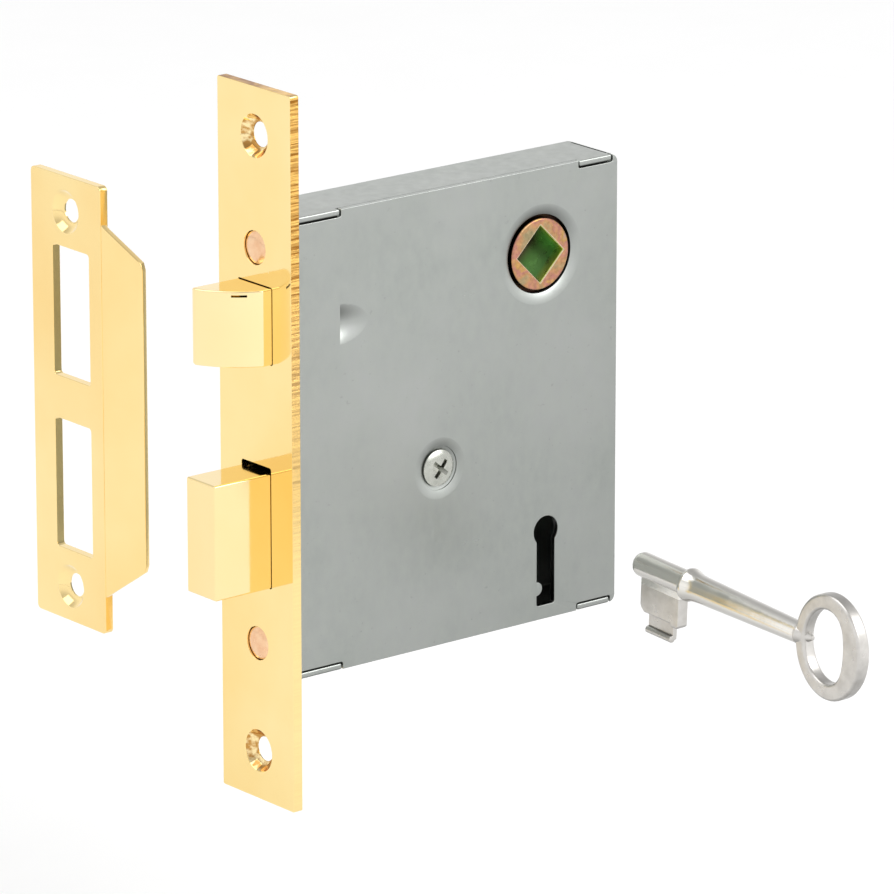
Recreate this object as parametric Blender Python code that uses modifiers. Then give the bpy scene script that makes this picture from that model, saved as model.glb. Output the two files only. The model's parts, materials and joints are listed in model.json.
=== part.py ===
"""Mortise lock with its strike plate and its bit key, modelled in metres.

The origin is the centre of the faceplate's front face. +X runs into the door, -Y is the
cover side and +Z is up. The deadbolt is shown thrown and the spring latch is shown out.
The key stands in line with the keyhole, and the strike plate stands beside the case.
"""

import math

import bmesh
import bpy
from mathutils import Matrix, Vector

MM = 0.001
GAP = 0.3 * MM
ROUND_STEPS = 40

# Faceplate
FACE_HEIGHT = 139.7 * MM
FACE_WIDTH = 22.2 * MM
FACE_THICK = 2.0 * MM
FACE_CORNER = 0.4 * MM
FACE_SCREW_Z = 60.3 * MM
FACE_SCREW_HOLE_R = 2.4 * MM
FACE_SCREW_SINK_R = 4.1 * MM
RIVET_Z = 38.8 * MM
RIVET_HEAD_R = 3.1 * MM
RIVET_SHANK_R = 1.6 * MM

# Case
CASE_BACK_X = 82.55 * MM
CASE_HALF_HEIGHT = 45.2 * MM
CASE_HALF_DEPTH = 7.15 * MM
SHEET = 1.2 * MM
NOTCH_FRONT_X = 15.0 * MM
NOTCH_BACK_X = 72.8 * MM
TAB_BACK_X = 81.1 * MM

# Hub
HUB_X = 63.5 * MM
HUB_Z = 28.3 * MM
HUB_R = 7.1 * MM
HUB_HOLE_R = 7.8 * MM
HUB_BARREL_R = 8.9 * MM
HUB_SQUARE = 8.0 * MM
LOBE_R = 11.0 * MM
LOBE_TIP_R = 2.0 * MM

# Latch
LATCH_Z = 24.5 * MM
LATCH_HEIGHT = 14.8 * MM
LATCH_WIDTH = 10.3 * MM
LATCH_OUT = 11.2 * MM
LATCH_BACK_X = 2.9 * MM
TAIL_LOW_Y = 0.4 * MM
TAIL_HIGH_Y = 2.9 * MM
LATCH_PIN_LOW = -3.6 * MM
BRACKET_X = 30.2 * MM
SPRING_R = 3.5 * MM
SPRING_WIRE_R = 0.45 * MM
SPRING_TURNS = 8

# Deadbolt
BOLT_Z = -15.6 * MM
BOLT_HEIGHT = 22.6 * MM
BOLT_WIDTH = 8.8 * MM
BOLT_OUT = 13.2 * MM
BOLT_BACK_X = 2.9 * MM
BOLT_TAIL_LOW_Y = 0.8 * MM
BOLT_TAIL_HIGH_Y = 3.3 * MM
BOLT_PIN_LOW = -3.1 * MM
STUMP_X = 48.5 * MM
STUMP_Z = -9.5 * MM
STUMP_R = 1.7 * MM

# Pillar that takes the cover screw and guides the deadbolt's tail
PILLAR_X = 38.6 * MM
PILLAR_Z = -9.8 * MM
PILLAR_R = 3.1 * MM
SCREW_HEAD_R = 3.6 * MM
SCREW_SEAT_R = 4.4 * MM
SCREW_TURN = 39

# Lever
LEVER_PIVOT_X = 26.0 * MM
LEVER_PIVOT_Z = -20.0 * MM
LEVER_LOW_Y = -2.2 * MM
LEVER_HIGH_Y = 0.3 * MM
POST_R = 2.0 * MM

# Keyhole and key
KEY_X = 65.0 * MM
KEY_Z = -27.4 * MM
KEYHOLE_R = 3.0 * MM
KEY_SLOT_WIDTH = 4.5 * MM
KEY_SLOT_DROP = 15.0 * MM
WARD_DROP = 11.5 * MM
WARD_R = 1.4 * MM
KEY_TIP_Y = -34.6 * MM
KEY_TIP_Z = -26.95 * MM
KEY_TILT = math.radians(3)
KEY_LENGTH = 64.8 * MM
KEY_BIT_THICK = 2.4 * MM

# Dimple that backs the latch spring's bracket
DIMPLE_X = 14.6 * MM
DIMPLE_LENGTH = 6.4 * MM
DIMPLE_Z = 22.9 * MM

# Strike plate
STRIKE_X = -14.2 * MM
STRIKE_Y = 40.3 * MM
STRIKE_Z = 2.6 * MM
STRIKE_HEIGHT = 88.4 * MM
STRIKE_WIDTH = 22.2 * MM
STRIKE_THICK = 1.8 * MM
STRIKE_HOLE_Z = 37.2 * MM
STRIKE_OPENING = (11.6 * MM, 25.8 * MM)
STRIKE_OPENING_Y = -1.4 * MM
STRIKE_OPENING_Z = (17.3 * MM, -17.0 * MM)
LIP_WIDTH = 9.4 * MM
LIP_THICK = 1.3 * MM
LIP_TILT = math.radians(20.5)

X_AXIS = Vector((1, 0, 0))
Y_AXIS = Vector((0, 1, 0))
Z_AXIS = Vector((0, 0, 1))
PLANES = {"XY": (X_AXIS, Y_AXIS), "XZ": (X_AXIS, Z_AXIS), "YZ": (Y_AXIS, Z_AXIS)}

LOOKS = {
    "polished_brass": ((0.93, 0.76, 0.38), 1.0, 0.12),
    "strike_brass": ((0.93, 0.78, 0.42), 1.0, 0.14),
    "copper_rivet": ((0.86, 0.55, 0.38), 1.0, 0.30),
    "zinc_steel": ((0.60, 0.62, 0.60), 1.0, 0.42),
    "yellow_zinc": ((0.78, 0.62, 0.48), 1.0, 0.30),
    "bright_steel": ((0.72, 0.72, 0.70), 1.0, 0.25),
    "spring_steel": ((0.45, 0.45, 0.46), 1.0, 0.35),
    "nickel": ((0.80, 0.78, 0.74), 1.0, 0.18),
}


def clear_scene():
    for obj in list(bpy.data.objects):
        bpy.data.objects.remove(obj, do_unlink=True)


def add_collection(name, shown):
    collection = bpy.data.collections.new(name)
    bpy.context.scene.collection.children.link(collection)
    collection.hide_render = not shown
    return collection


def add_look(name):
    colour, metallic, roughness = LOOKS[name]
    look = bpy.data.materials.new(name)
    look.use_nodes = True
    shader = look.node_tree.nodes["Principled BSDF"]
    shader.inputs["Base Color"].default_value = (*colour, 1)
    shader.inputs["Metallic"].default_value = metallic
    shader.inputs["Roughness"].default_value = roughness
    look.diffuse_color = (*colour, 1)
    return look


clear_scene()
PARTS = add_collection("mortise_lock", True)
CUTTERS = add_collection("mortise_lock_cutters", False)
MATERIALS = {name: add_look(name) for name in LOOKS}


# Outlines: lists of (u, v) points in metres


def arc(centre, radius, start, end, steps):
    """Points from angle start to angle end, in degrees, both included."""
    angles = [math.radians(start + (end - start) * i / steps) for i in range(steps + 1)]
    return [(centre[0] + radius * math.cos(a), centre[1] + radius * math.sin(a)) for a in angles]


def circle(centre, radius, steps=ROUND_STEPS):
    return arc(centre, radius, 0, 360, steps)[:-1]


def ellipse(centre, radius_u, radius_v, steps=ROUND_STEPS):
    return [
        (centre[0] + radius_u * u, centre[1] + radius_v * v) for u, v in circle((0, 0), 1, steps)
    ]


def rectangle(low, high, radius=0.0, steps=4):
    """A rectangle from its low corner to its high one, with corners of the radius."""
    if not radius:
        return [low, (high[0], low[1]), high, (low[0], high[1])]
    points = arc((high[0] - radius, high[1] - radius), radius, 0, 90, steps)
    points += arc((low[0] + radius, high[1] - radius), radius, 90, 180, steps)
    points += arc((low[0] + radius, low[1] + radius), radius, 180, 270, steps)
    return points + arc((high[0] - radius, low[1] + radius), radius, 270, 360, steps)


def bulge(start, end, height, steps):
    """Points between start and end, both included, on an arc that bulges by the height."""
    (u0, v0), (u1, v1) = start, end
    length = math.hypot(u1 - u0, v1 - v0)
    side = ((v0 - v1) / length, (u1 - u0) / length)
    points = []
    for i in range(steps + 1):
        t = i / steps
        rise = 4 * height * t * (1 - t)
        points.append((u0 + (u1 - u0) * t + side[0] * rise, v0 + (v1 - v0) * t + side[1] * rise))
    return points


def keyhole_outline(centre, clearance, warded):
    """A round hole over a slot, with a half-round ward on the slot's faceplate side."""
    u, v = centre
    half = KEY_SLOT_WIDTH / 2 + clearance
    bottom = v - KEY_SLOT_DROP - clearance
    start = math.degrees(math.asin(half / (KEYHOLE_R + clearance)))
    points = arc(centre, KEYHOLE_R + clearance, 270 + start, 630 - start, 28)
    if warded:
        points += arc((u - half, v - WARD_DROP), WARD_R, 90, -90, 8)
    corner = 0.8 * MM
    points += arc((u - half + corner, bottom + corner), corner, 180, 270, 3)
    return points + arc((u + half - corner, bottom + corner), corner, 270, 360, 3)


# Solids


def link(obj, collection):
    collection.objects.link(obj)
    return obj


def smooth(mesh):
    mesh.shade_smooth()
    mesh.set_sharp_from_angle(angle=math.radians(35))


def extruded(name, loops, plane, low, high):
    """A solid from outlines in a plane, from low to high along the plane's normal."""
    curve = bpy.data.curves.new(name, "CURVE")
    curve.dimensions = "2D"
    curve.fill_mode = "BOTH"
    curve.extrude = (high - low) / 2
    for loop in loops:
        spline = curve.splines.new("POLY")
        spline.points.add(len(loop) - 1)
        for point, (u, v) in zip(spline.points, loop):
            point.co = (u, v, 0, 1)
        spline.use_cyclic_u = True
    drawn = link(bpy.data.objects.new(name + "_outline", curve), CUTTERS)
    u_axis, v_axis = PLANES[plane]
    normal = u_axis.cross(v_axis)
    turn = Matrix((u_axis, v_axis, normal)).transposed().to_4x4()
    along = Vector(tuple(abs(value) for value in normal))
    drawn.matrix_world = Matrix.Translation(along * (low + high) / 2) @ turn
    bpy.context.view_layer.update()
    graph = bpy.context.evaluated_depsgraph_get()
    mesh = bpy.data.meshes.new_from_object(drawn.evaluated_get(graph))
    work = bmesh.new()
    work.from_mesh(mesh)
    bmesh.ops.remove_doubles(work, verts=work.verts, dist=1e-6)
    bmesh.ops.recalc_face_normals(work, faces=work.faces)
    work.to_mesh(mesh)
    work.free()
    mesh.name = name
    smooth(mesh)
    obj = link(bpy.data.objects.new(name, mesh), PARTS)
    obj.matrix_world = drawn.matrix_world.copy()
    bpy.data.objects.remove(drawn, do_unlink=True)
    return obj


def turned(name, profile, axis, at, steps=ROUND_STEPS):
    """A solid turned from (radius, height) points, top to bottom, about an axis through at."""
    mesh = bpy.data.meshes.new(name)
    points = [(radius, 0, height) for radius, height in profile]
    mesh.from_pydata(points, [(i, i + 1) for i in range(len(points) - 1)], [])
    obj = link(bpy.data.objects.new(name, mesh), PARTS)
    obj.rotation_euler = Z_AXIS.rotation_difference(axis).to_euler()
    obj.location = at
    screw = obj.modifiers.new("turn", "SCREW")
    screw.steps = steps
    screw.render_steps = steps
    screw.use_merge_vertices = True
    screw.merge_threshold = 1e-6
    screw.use_smooth_shade = True
    return obj


def pin(name, radius, axis, centre, low, high, chamfer=0.0, steps=ROUND_STEPS):
    """A round bar along an axis, from low to high measured from the centre."""
    profile = [(0, high), (radius - chamfer, high)]
    if chamfer:
        profile += [(radius, high - chamfer), (radius, low + chamfer)]
    else:
        profile += [(radius, low)]
    profile += [(radius - chamfer, low)] if chamfer else []
    return turned(name, profile + [(0, low)], axis, centre, steps)


def box(name, low, high):
    mesh = bpy.data.meshes.new(name)
    work = bmesh.new()
    bmesh.ops.create_cube(work, size=1)
    size = Vector(high) - Vector(low)
    bmesh.ops.scale(work, vec=size, verts=work.verts)
    work.to_mesh(mesh)
    work.free()
    obj = link(bpy.data.objects.new(name, mesh), PARTS)
    obj.location = (Vector(high) + Vector(low)) / 2
    return obj


def combine(obj, helper, operation):
    helper.name = obj.name + "_" + operation.lower() + "_" + str(len(obj.modifiers) + 1)
    PARTS.objects.unlink(helper)
    CUTTERS.objects.link(helper)
    helper.hide_render = True
    helper.display_type = "WIRE"
    boolean = obj.modifiers.new(operation.lower(), "BOOLEAN")
    boolean.operation = operation
    boolean.solver = "EXACT"
    boolean.object = helper


def cut(obj, *helpers):
    for helper in helpers:
        combine(obj, helper, "DIFFERENCE")
    return obj


def join(obj, *helpers):
    for helper in helpers:
        combine(obj, helper, "UNION")
    return obj


def soften(obj, width, segments=2):
    bevel = obj.modifiers.new("edges", "BEVEL")
    bevel.width = width
    bevel.segments = segments
    bevel.limit_method = "ANGLE"
    bevel.angle_limit = math.radians(40)


def paint(obj, look):
    obj.data.materials.clear()
    obj.data.materials.append(MATERIALS[look])
    return obj


def carrier(name, at, pieces):
    """An empty on a joint's axis that its moving pieces hang from."""
    empty = link(bpy.data.objects.new(name, None), PARTS)
    empty.location = at
    bpy.context.view_layer.update()
    for piece in pieces:
        piece.parent = empty
        piece.matrix_parent_inverse = empty.matrix_world.inverted()


# Fixed pieces


def make_faceplate():
    half = Vector((FACE_WIDTH / 2, FACE_HEIGHT / 2))
    outline = rectangle((-half.x, -half.y), (half.x, half.y), FACE_CORNER)
    latch = latch_opening(GAP)
    bolt = bolt_opening(GAP)
    plate = extruded("faceplate", [outline, latch, bolt], "YZ", 0, FACE_THICK)
    for z in (FACE_SCREW_Z, -FACE_SCREW_Z):
        sink = [(0, 1 * MM), (FACE_SCREW_SINK_R + 1 * MM, 1 * MM), (FACE_SCREW_SINK_R, 0)]
        sink += [(FACE_SCREW_HOLE_R, -1.6 * MM), (FACE_SCREW_HOLE_R, -3 * MM), (0, -3 * MM)]
        cut(plate, turned("screw_sink", sink, -X_AXIS, (0, 0, z)))
    for z in (RIVET_Z, -RIVET_Z):
        recess = RIVET_HEAD_R + GAP
        hole = RIVET_SHANK_R + GAP
        seat = [(0, 1 * MM), (recess, 1 * MM), (recess, -0.9 * MM)]
        seat += [(hole, -0.9 * MM), (hole, -3 * MM), (0, -3 * MM)]
        cut(plate, turned("rivet_seat", seat, -X_AXIS, (0, 0, z)))
    return paint(plate, "polished_brass")


def latch_opening(clearance):
    half = Vector((LATCH_WIDTH / 2 + clearance, LATCH_HEIGHT / 2 + clearance))
    return rectangle((-half.x, LATCH_Z - half.y), (half.x, LATCH_Z + half.y), 0.6 * MM)


def bolt_opening(clearance):
    """The deadbolt's opening, which is taller than the bolt at the top."""
    half = Vector((BOLT_WIDTH / 2 + clearance, BOLT_HEIGHT / 2 + clearance))
    slack = 0.9 * MM
    return rectangle((-half.x, BOLT_Z - half.y), (half.x, BOLT_Z + half.y + slack), 0.6 * MM)


def make_faceplate_rivet(name, z):
    """A rivet that holds the faceplate to the case: domed head, shank and upset end."""
    shank = RIVET_SHANK_R
    inner = -(FACE_THICK + GAP + SHEET)
    profile = [(0, 0.1 * MM), (1.6 * MM, 0), (2.6 * MM, -0.2 * MM), (RIVET_HEAD_R, -0.6 * MM)]
    profile += [(shank, -0.6 * MM), (shank, inner - GAP), (2.6 * MM, inner - GAP)]
    profile += [(2.3 * MM, inner - 1.1 * MM), (0, inner - 1.4 * MM)]
    return paint(turned(name, profile, -X_AXIS, (0, 0, z)), "copper_rivet")


def make_case_pan():
    """The case's far plate and its four walls, pressed in one piece."""
    front = FACE_THICK + GAP
    rim = -(CASE_HALF_DEPTH - SHEET - GAP)
    outer = CASE_HALF_HEIGHT
    pan = box("case_pan", (front, rim, -outer), (CASE_BACK_X, CASE_HALF_DEPTH, outer))
    soften(pan, 0.7 * MM)
    wall = SHEET
    low = (front + wall, rim - 1 * MM, -outer + wall)
    high = (CASE_BACK_X - wall, CASE_HALF_DEPTH - wall, outer - wall)
    cut(pan, box("room", low, high))
    tab_low = -CASE_HALF_DEPTH
    for left, right in ((front, NOTCH_FRONT_X - GAP), (NOTCH_BACK_X + GAP, TAB_BACK_X)):
        for side in (1, -1):
            levels = sorted((side * (outer - wall), side * outer))
            tab = box("tab", (left, tab_low, levels[0]), (right, rim + 2 * MM, levels[1]))
            join(pan, tab)
    clear = 2 * GAP
    through = (front - 1 * MM, front + wall + 1 * MM)
    cut(pan, extruded("latch_way", [latch_opening(clear)], "YZ", *through))
    cut(pan, extruded("bolt_way", [bolt_opening(clear)], "YZ", *through))
    for z in (RIVET_Z, -RIVET_Z):
        hole = pin("rivet_hole", RIVET_SHANK_R + GAP, X_AXIS, (front, 0, z), -2 * MM, 4 * MM)
        cut(pan, hole)
    far = (CASE_HALF_DEPTH - wall - 1 * MM, CASE_HALF_DEPTH + 1 * MM)
    cut(pan, extruded("hub_hole", [circle((HUB_X, HUB_Z), HUB_HOLE_R)], "XZ", *far))
    cut(pan, extruded("keyhole", [keyhole_outline((KEY_X, KEY_Z), 0, True)], "XZ", *far))
    ends = ((PILLAR_X, PILLAR_Z), (LEVER_PIVOT_X, LEVER_PIVOT_Z), (BRACKET_X, LATCH_Z))
    for x, z in ends:
        cut(pan, extruded("riveted_end", [circle((x, z), 1.5 * MM + GAP, 24)], "XZ", *far))
    return paint(pan, "zinc_steel")


def make_case_cover():
    """The flat cover, notched near its corners round the pan's tabs."""
    left = FACE_THICK + GAP
    outside = -CASE_HALF_DEPTH
    inside = outside + SHEET
    full = CASE_HALF_HEIGHT
    cover = box("case_cover", (left, outside, -full), (CASE_BACK_X, inside, full))
    step = full - SHEET - GAP
    through = (outside - 1 * MM, inside + 1 * MM)
    for start, end in ((left - 1 * MM, NOTCH_FRONT_X), (NOTCH_BACK_X, TAB_BACK_X + GAP)):
        for side in (1, -1):
            levels = sorted((side * step, side * (full + 1 * MM)))
            low = (start, through[0], levels[0])
            cut(cover, box("notch", low, (end, through[1], levels[1])))
    cut(cover, extruded("hub_hole", [circle((HUB_X, HUB_Z), HUB_HOLE_R)], "XZ", *through))
    keyhole = keyhole_outline((KEY_X, KEY_Z), 0, True)
    cut(cover, extruded("keyhole", [keyhole], "XZ", *through))
    bump = dimple_cone("bump", DIMPLE_X, 4.9 * MM, 2.9 * MM, DIMPLE_LENGTH + 1 * MM)
    bump_low = (DIMPLE_X - 1 * MM, outside - 4 * MM, DIMPLE_Z - 6 * MM)
    bump_high = (DIMPLE_X + 10 * MM, outside + SHEET / 2, DIMPLE_Z + 6 * MM)
    cut(bump, box("outer_half", bump_low, bump_high))
    join(cover, bump)
    edge = DIMPLE_X - 0.1 * MM
    cut(cover, dimple_cone("dent", edge, 4.4 * MM, 1.7 * MM, DIMPLE_LENGTH))
    seat = [(0, 1 * MM), (SCREW_SEAT_R, 1 * MM), (SCREW_SEAT_R, 0)]
    seat += [(2.1 * MM, -0.7 * MM), (2.1 * MM, -3 * MM), (0, -3 * MM)]
    cut(cover, turned("screw_seat", seat, -Y_AXIS, (PILLAR_X, outside, PILLAR_Z)))
    return paint(cover, "zinc_steel")


def dimple_cone(name, edge, half_height, depth, length):
    """A cone lying along X with its flat end at the edge, flattened along Y."""
    profile = [(0, length), (0.3, 0.92 * length), (1, 0), (0, 0)]
    cone = turned(name, profile, X_AXIS, (edge, -CASE_HALF_DEPTH - 0.05 * MM, DIMPLE_Z), 28)
    cone.scale = (half_height, depth, 1)
    return cone


def make_cover_screw():
    """A cross-recessed screw whose head sits in the cover's dished seat."""
    profile = [(0, 1.0 * MM), (1.6 * MM, 0.9 * MM), (2.8 * MM, 0.55 * MM), (SCREW_HEAD_R, 0)]
    profile += [(SCREW_HEAD_R, -0.15 * MM), (1.7 * MM, -0.35 * MM), (1.7 * MM, -8 * MM)]
    profile += [(1.3 * MM, -8.5 * MM), (0, -8.5 * MM)]
    at = Vector((PILLAR_X, -CASE_HALF_DEPTH, PILLAR_Z))
    screw = turned("cover_screw", profile, -Y_AXIS, at)
    half = Vector((2.2 * MM, 1.2 * MM, 0.5 * MM))
    middle = at - Vector((0, 1.1 * MM, 0))
    for turn in (SCREW_TURN, SCREW_TURN + 90):
        slot = box("recess", middle - half, middle + half)
        slot.rotation_euler.y = math.radians(turn)
        cut(screw, slot)
    return paint(screw, "bright_steel")


def make_screw_pillar():
    """The tapped pillar, riveted into the pan."""
    floor = CASE_HALF_DEPTH - SHEET
    at = (PILLAR_X, 0, PILLAR_Z)
    profile = [(0, CASE_HALF_DEPTH), (1.5 * MM, CASE_HALF_DEPTH), (1.5 * MM, floor - GAP)]
    profile += [(PILLAR_R, floor - GAP), (PILLAR_R, -floor + GAP), (0, -floor + GAP)]
    pillar = turned("screw_pillar", profile, Y_AXIS, at)
    bore = pin("bore", 1.7 * MM + GAP, Y_AXIS, at, -7 * MM, 2.4 * MM, 0, 24)
    return paint(cut(pillar, bore), "bright_steel")


def make_lever_post():
    floor = CASE_HALF_DEPTH - SHEET
    profile = [(0, CASE_HALF_DEPTH), (1.5 * MM, CASE_HALF_DEPTH), (1.5 * MM, floor - GAP)]
    profile += [(POST_R, floor - GAP), (POST_R, -floor + 2 * GAP), (0, -floor + GAP)]
    post = turned("lever_post", profile, Y_AXIS, (LEVER_PIVOT_X, 0, LEVER_PIVOT_Z), 28)
    return paint(post, "bright_steel")


def make_spring_bracket():
    """The fixed plate that backs the latch spring, with the pin that the spring rides on."""
    floor = CASE_HALF_DEPTH - SHEET - GAP
    thick = 1.5 * MM
    half = 3.8 * MM
    low = (BRACKET_X - thick / 2, -3.9 * MM, LATCH_Z - half)
    high = (BRACKET_X + thick / 2, floor, LATCH_Z + half)
    bracket = box("spring_bracket", low, high)
    soften(bracket, 0.25 * MM)
    at = (BRACKET_X, 0, LATCH_Z)
    join(bracket, pin("guide", 1.9 * MM, X_AXIS, at, -13 * MM, 0, 0.4 * MM, 24))
    foot = box("foot", (low[0], floor - 1.2 * MM, low[2]), (high[0] + 4 * MM, floor, high[2]))
    join(bracket, foot)
    end = pin("riveted_end", 1.5 * MM, Y_AXIS, at, floor - 1 * MM, CASE_HALF_DEPTH, 0, 24)
    return paint(join(bracket, end), "bright_steel")


# Spring latch and hub


def make_latch_head():
    """The latch's brass head: flat on +Y, and swept back to the strike on -Y."""
    tip = -LATCH_OUT
    side = LATCH_WIDTH / 2
    sweep = bulge((-1.8 * MM, -side), (tip, side - 1.1 * MM), 1.3 * MM, 14)
    outline = [(LATCH_BACK_X, side), (LATCH_BACK_X, -side), *sweep, (tip + 0.3 * MM, side)]
    low = LATCH_Z - LATCH_HEIGHT / 2
    high = LATCH_Z + LATCH_HEIGHT / 2
    head = extruded("latch_head", [outline], "XY", low, high)
    soften(head, 0.3 * MM)
    for edge, inner in ((high + 1 * MM, high - 3.4 * MM), (low - 1 * MM, low + 3.4 * MM)):
        levels = sorted((edge, inner))
        cheek_low = (-3 * MM - GAP, TAIL_LOW_Y - GAP, levels[0])
        cheek_high = (LATCH_BACK_X + 1 * MM, TAIL_HIGH_Y + GAP, levels[1])
        cut(head, box("tang_slot", cheek_low, cheek_high))
    for z in tang_levels():
        at = (0.4 * MM, 0, z)
        cut(head, pin("pin_hole", 0.9 * MM + GAP, Y_AXIS, at, LATCH_PIN_LOW - GAP, 8 * MM, 0, 20))
    return paint(head, "polished_brass")


def tang_levels():
    """The heights of the two tangs that the latch head is pinned to."""
    offset = LATCH_HEIGHT / 2 - 1.7 * MM
    return LATCH_Z + offset, LATCH_Z - offset


def make_latch_tail():
    """The latch's steel tail: two rails round the spring, then a fork round the hub."""
    rail = LATCH_HEIGHT / 2 - GAP
    window = LATCH_HEIGHT / 2 - 3.1 * MM
    front = -3 * MM
    fork = 12.0 * MM
    slot = HUB_BARREL_R + 0.4 * MM
    reach = HUB_X + 1.6 * MM
    neck = 33.0 * MM
    crotch = HUB_X - LATCH_OUT - slot
    upper = [(front, LATCH_Z + rail), (neck, LATCH_Z + rail), (neck + 8 * MM, HUB_Z + fork)]
    upper += [(reach, HUB_Z + fork), (reach, HUB_Z + slot)]
    lower = [(reach, HUB_Z - slot), (reach, HUB_Z - fork), (neck + 8 * MM, HUB_Z - fork)]
    lower += [(neck, LATCH_Z - rail), (front, LATCH_Z - rail)]
    inside = arc((crotch + slot, HUB_Z), slot, 90, 270, 16)
    opening = [(front, LATCH_Z - window), (neck, LATCH_Z - window)]
    opening += [(neck, LATCH_Z + window), (front, LATCH_Z + window)]
    outline = upper + inside + lower + opening
    tail = extruded("latch_tail", [outline], "XZ", TAIL_LOW_Y, TAIL_HIGH_Y)
    sweep = LATCH_OUT / 2
    lug_x = HUB_X - sweep + LOBE_TIP_R + 0.75 * MM
    for side in (1, -1):
        levels = sorted((HUB_Z + side * fork, HUB_Z + side * slot))
        low = (lug_x, -4.2 * MM, levels[0])
        high = (reach, TAIL_HIGH_Y, levels[1])
        join(tail, box("lug", low, high))
    for z in tang_levels():
        hole = pin("pin_hole", 0.9 * MM + GAP, Y_AXIS, (0.4 * MM, 0, z), -8 * MM, 8 * MM, 0, 20)
        cut(tail, hole)
    return paint(tail, "bright_steel")


def make_latch_pin(name, z):
    """A pin set into the head's +Y side, blind towards the swept side."""
    high = LATCH_WIDTH / 2 - 0.2 * MM
    drawn = pin(name, 0.9 * MM, Y_AXIS, (0.4 * MM, 0, z), LATCH_PIN_LOW, high, 0, 20)
    return paint(drawn, "polished_brass")


def make_latch_spring():
    """The coil spring between the latch head and the bracket, round the bracket's pin."""
    start = LATCH_BACK_X + SPRING_WIRE_R + GAP
    end = BRACKET_X - 0.75 * MM - SPRING_WIRE_R - GAP
    radius = SPRING_R - SPRING_WIRE_R
    steps = 12 * SPRING_TURNS
    curve = bpy.data.curves.new("latch_spring", "CURVE")
    curve.dimensions = "3D"
    curve.bevel_depth = SPRING_WIRE_R
    curve.bevel_resolution = 2
    curve.use_fill_caps = True
    spline = curve.splines.new("POLY")
    spline.points.add(steps)
    for i, point in enumerate(spline.points):
        angle = 2 * math.pi * SPRING_TURNS * i / steps
        x = start + (end - start) * i / steps
        point.co = (x, radius * math.cos(angle), LATCH_Z + radius * math.sin(angle), 1)
    spring = link(bpy.data.objects.new("latch_spring", curve), PARTS)
    return paint(spring, "spring_steel")


def make_hub():
    """The follower: a barrel with a square bore and two lobes that push the latch's fork."""
    at = (HUB_X, 0, HUB_Z)
    floor = CASE_HALF_DEPTH - SHEET
    face = CASE_HALF_DEPTH - 0.1 * MM
    barrel = floor - 2 * GAP
    profile = [(0, face), (HUB_R - 0.4 * MM, face), (HUB_R, face - 0.4 * MM), (HUB_R, barrel)]
    profile += [(HUB_BARREL_R, barrel), (HUB_BARREL_R, -barrel), (HUB_R, -barrel)]
    profile += [(HUB_R, -face + 0.4 * MM), (HUB_R - 0.4 * MM, -face), (0, -face)]
    hub = turned("hub", profile, Y_AXIS, at)
    lean = math.degrees(math.asin(LATCH_OUT / 2 / LOBE_R))
    for upright in (90 + lean, 270 - lean):
        tip = arc((LOBE_R, 0), LOBE_TIP_R, -90, 90, 10)
        root = 4.0 * MM
        outline = [(root, LOBE_TIP_R), (root, -LOBE_TIP_R), *tip[1:-1]]
        turn = math.radians(upright)
        placed = [
            (
                HUB_X + u * math.cos(turn) - v * math.sin(turn),
                HUB_Z + u * math.sin(turn) + v * math.cos(turn),
            )
            for u, v in outline
        ]
        join(hub, extruded("lobe", [placed], "XZ", -4.4 * MM, -0.4 * MM))
    half = HUB_SQUARE / math.sqrt(2)
    diamond = [(HUB_X + half, HUB_Z), (HUB_X, HUB_Z + half), (HUB_X - half, HUB_Z)]
    diamond += [(HUB_X, HUB_Z - half)]
    cut(hub, extruded("square", [diamond], "XZ", -9 * MM, 9 * MM))
    return paint(hub, "yellow_zinc")


# Deadbolt and lever


def bolt_pins():
    """The centres of the two rivets that join the deadbolt's head and tail."""
    return (-0.6 * MM, -9.9 * MM), (-0.6 * MM, -14.9 * MM)


def make_bolt_head():
    side = BOLT_WIDTH / 2
    low = (-BOLT_OUT, -side, BOLT_Z - BOLT_HEIGHT / 2)
    high = (BOLT_BACK_X, side, BOLT_Z + BOLT_HEIGHT / 2)
    head = box("deadbolt_head", low, high)
    soften(head, 0.35 * MM)
    slot_low = (-4 * MM - GAP, BOLT_TAIL_LOW_Y - GAP, -17.5 * MM - GAP)
    slot_high = (BOLT_BACK_X + 1 * MM, BOLT_TAIL_HIGH_Y + GAP, -7.2 * MM)
    cut(head, box("tongue_slot", slot_low, slot_high))
    for x, z in bolt_pins():
        at = (x, 0, z)
        cut(head, pin("pin_hole", 1.1 * MM + GAP, Y_AXIS, at, BOLT_PIN_LOW - GAP, 8 * MM, 0, 20))
    return paint(head, "polished_brass")


def make_bolt_tail():
    """The deadbolt's tail: a tongue, a slot round the pillar and a notch for the key's bit."""
    bottom = -17.5 * MM
    top = -3.2 * MM
    tongue_top = -7.5 * MM
    end = 67.3 * MM
    shoulder = BOLT_BACK_X + 1.6 * MM
    notch = (52.0 * MM, 64.6 * MM)
    notch_top = bottom + 4.0 * MM
    outline = [(-4 * MM, bottom), (notch[0], bottom)]
    outline += [(notch[0] + 0.8 * MM, notch_top), (notch[1] - 0.2 * MM, notch_top)]
    outline += [(notch[1], bottom), (end, bottom), (end, top), (shoulder, top)]
    outline += [(shoulder, tongue_top), (-4 * MM, tongue_top)]
    slack = PILLAR_R + 0.4 * MM
    slot = arc((PILLAR_X, PILLAR_Z), slack, -90, 90, 10)
    slot += arc((PILLAR_X - BOLT_OUT, PILLAR_Z), slack, 90, 270, 10)
    holes = [circle(at, 1.1 * MM + GAP, 20) for at in bolt_pins()]
    holes.append(circle((STUMP_X, STUMP_Z), STUMP_R + GAP, 24))
    loops = [outline, slot, *holes]
    tail = extruded("deadbolt_tail", loops, "XZ", BOLT_TAIL_LOW_Y, BOLT_TAIL_HIGH_Y)
    return paint(tail, "bright_steel")


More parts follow.
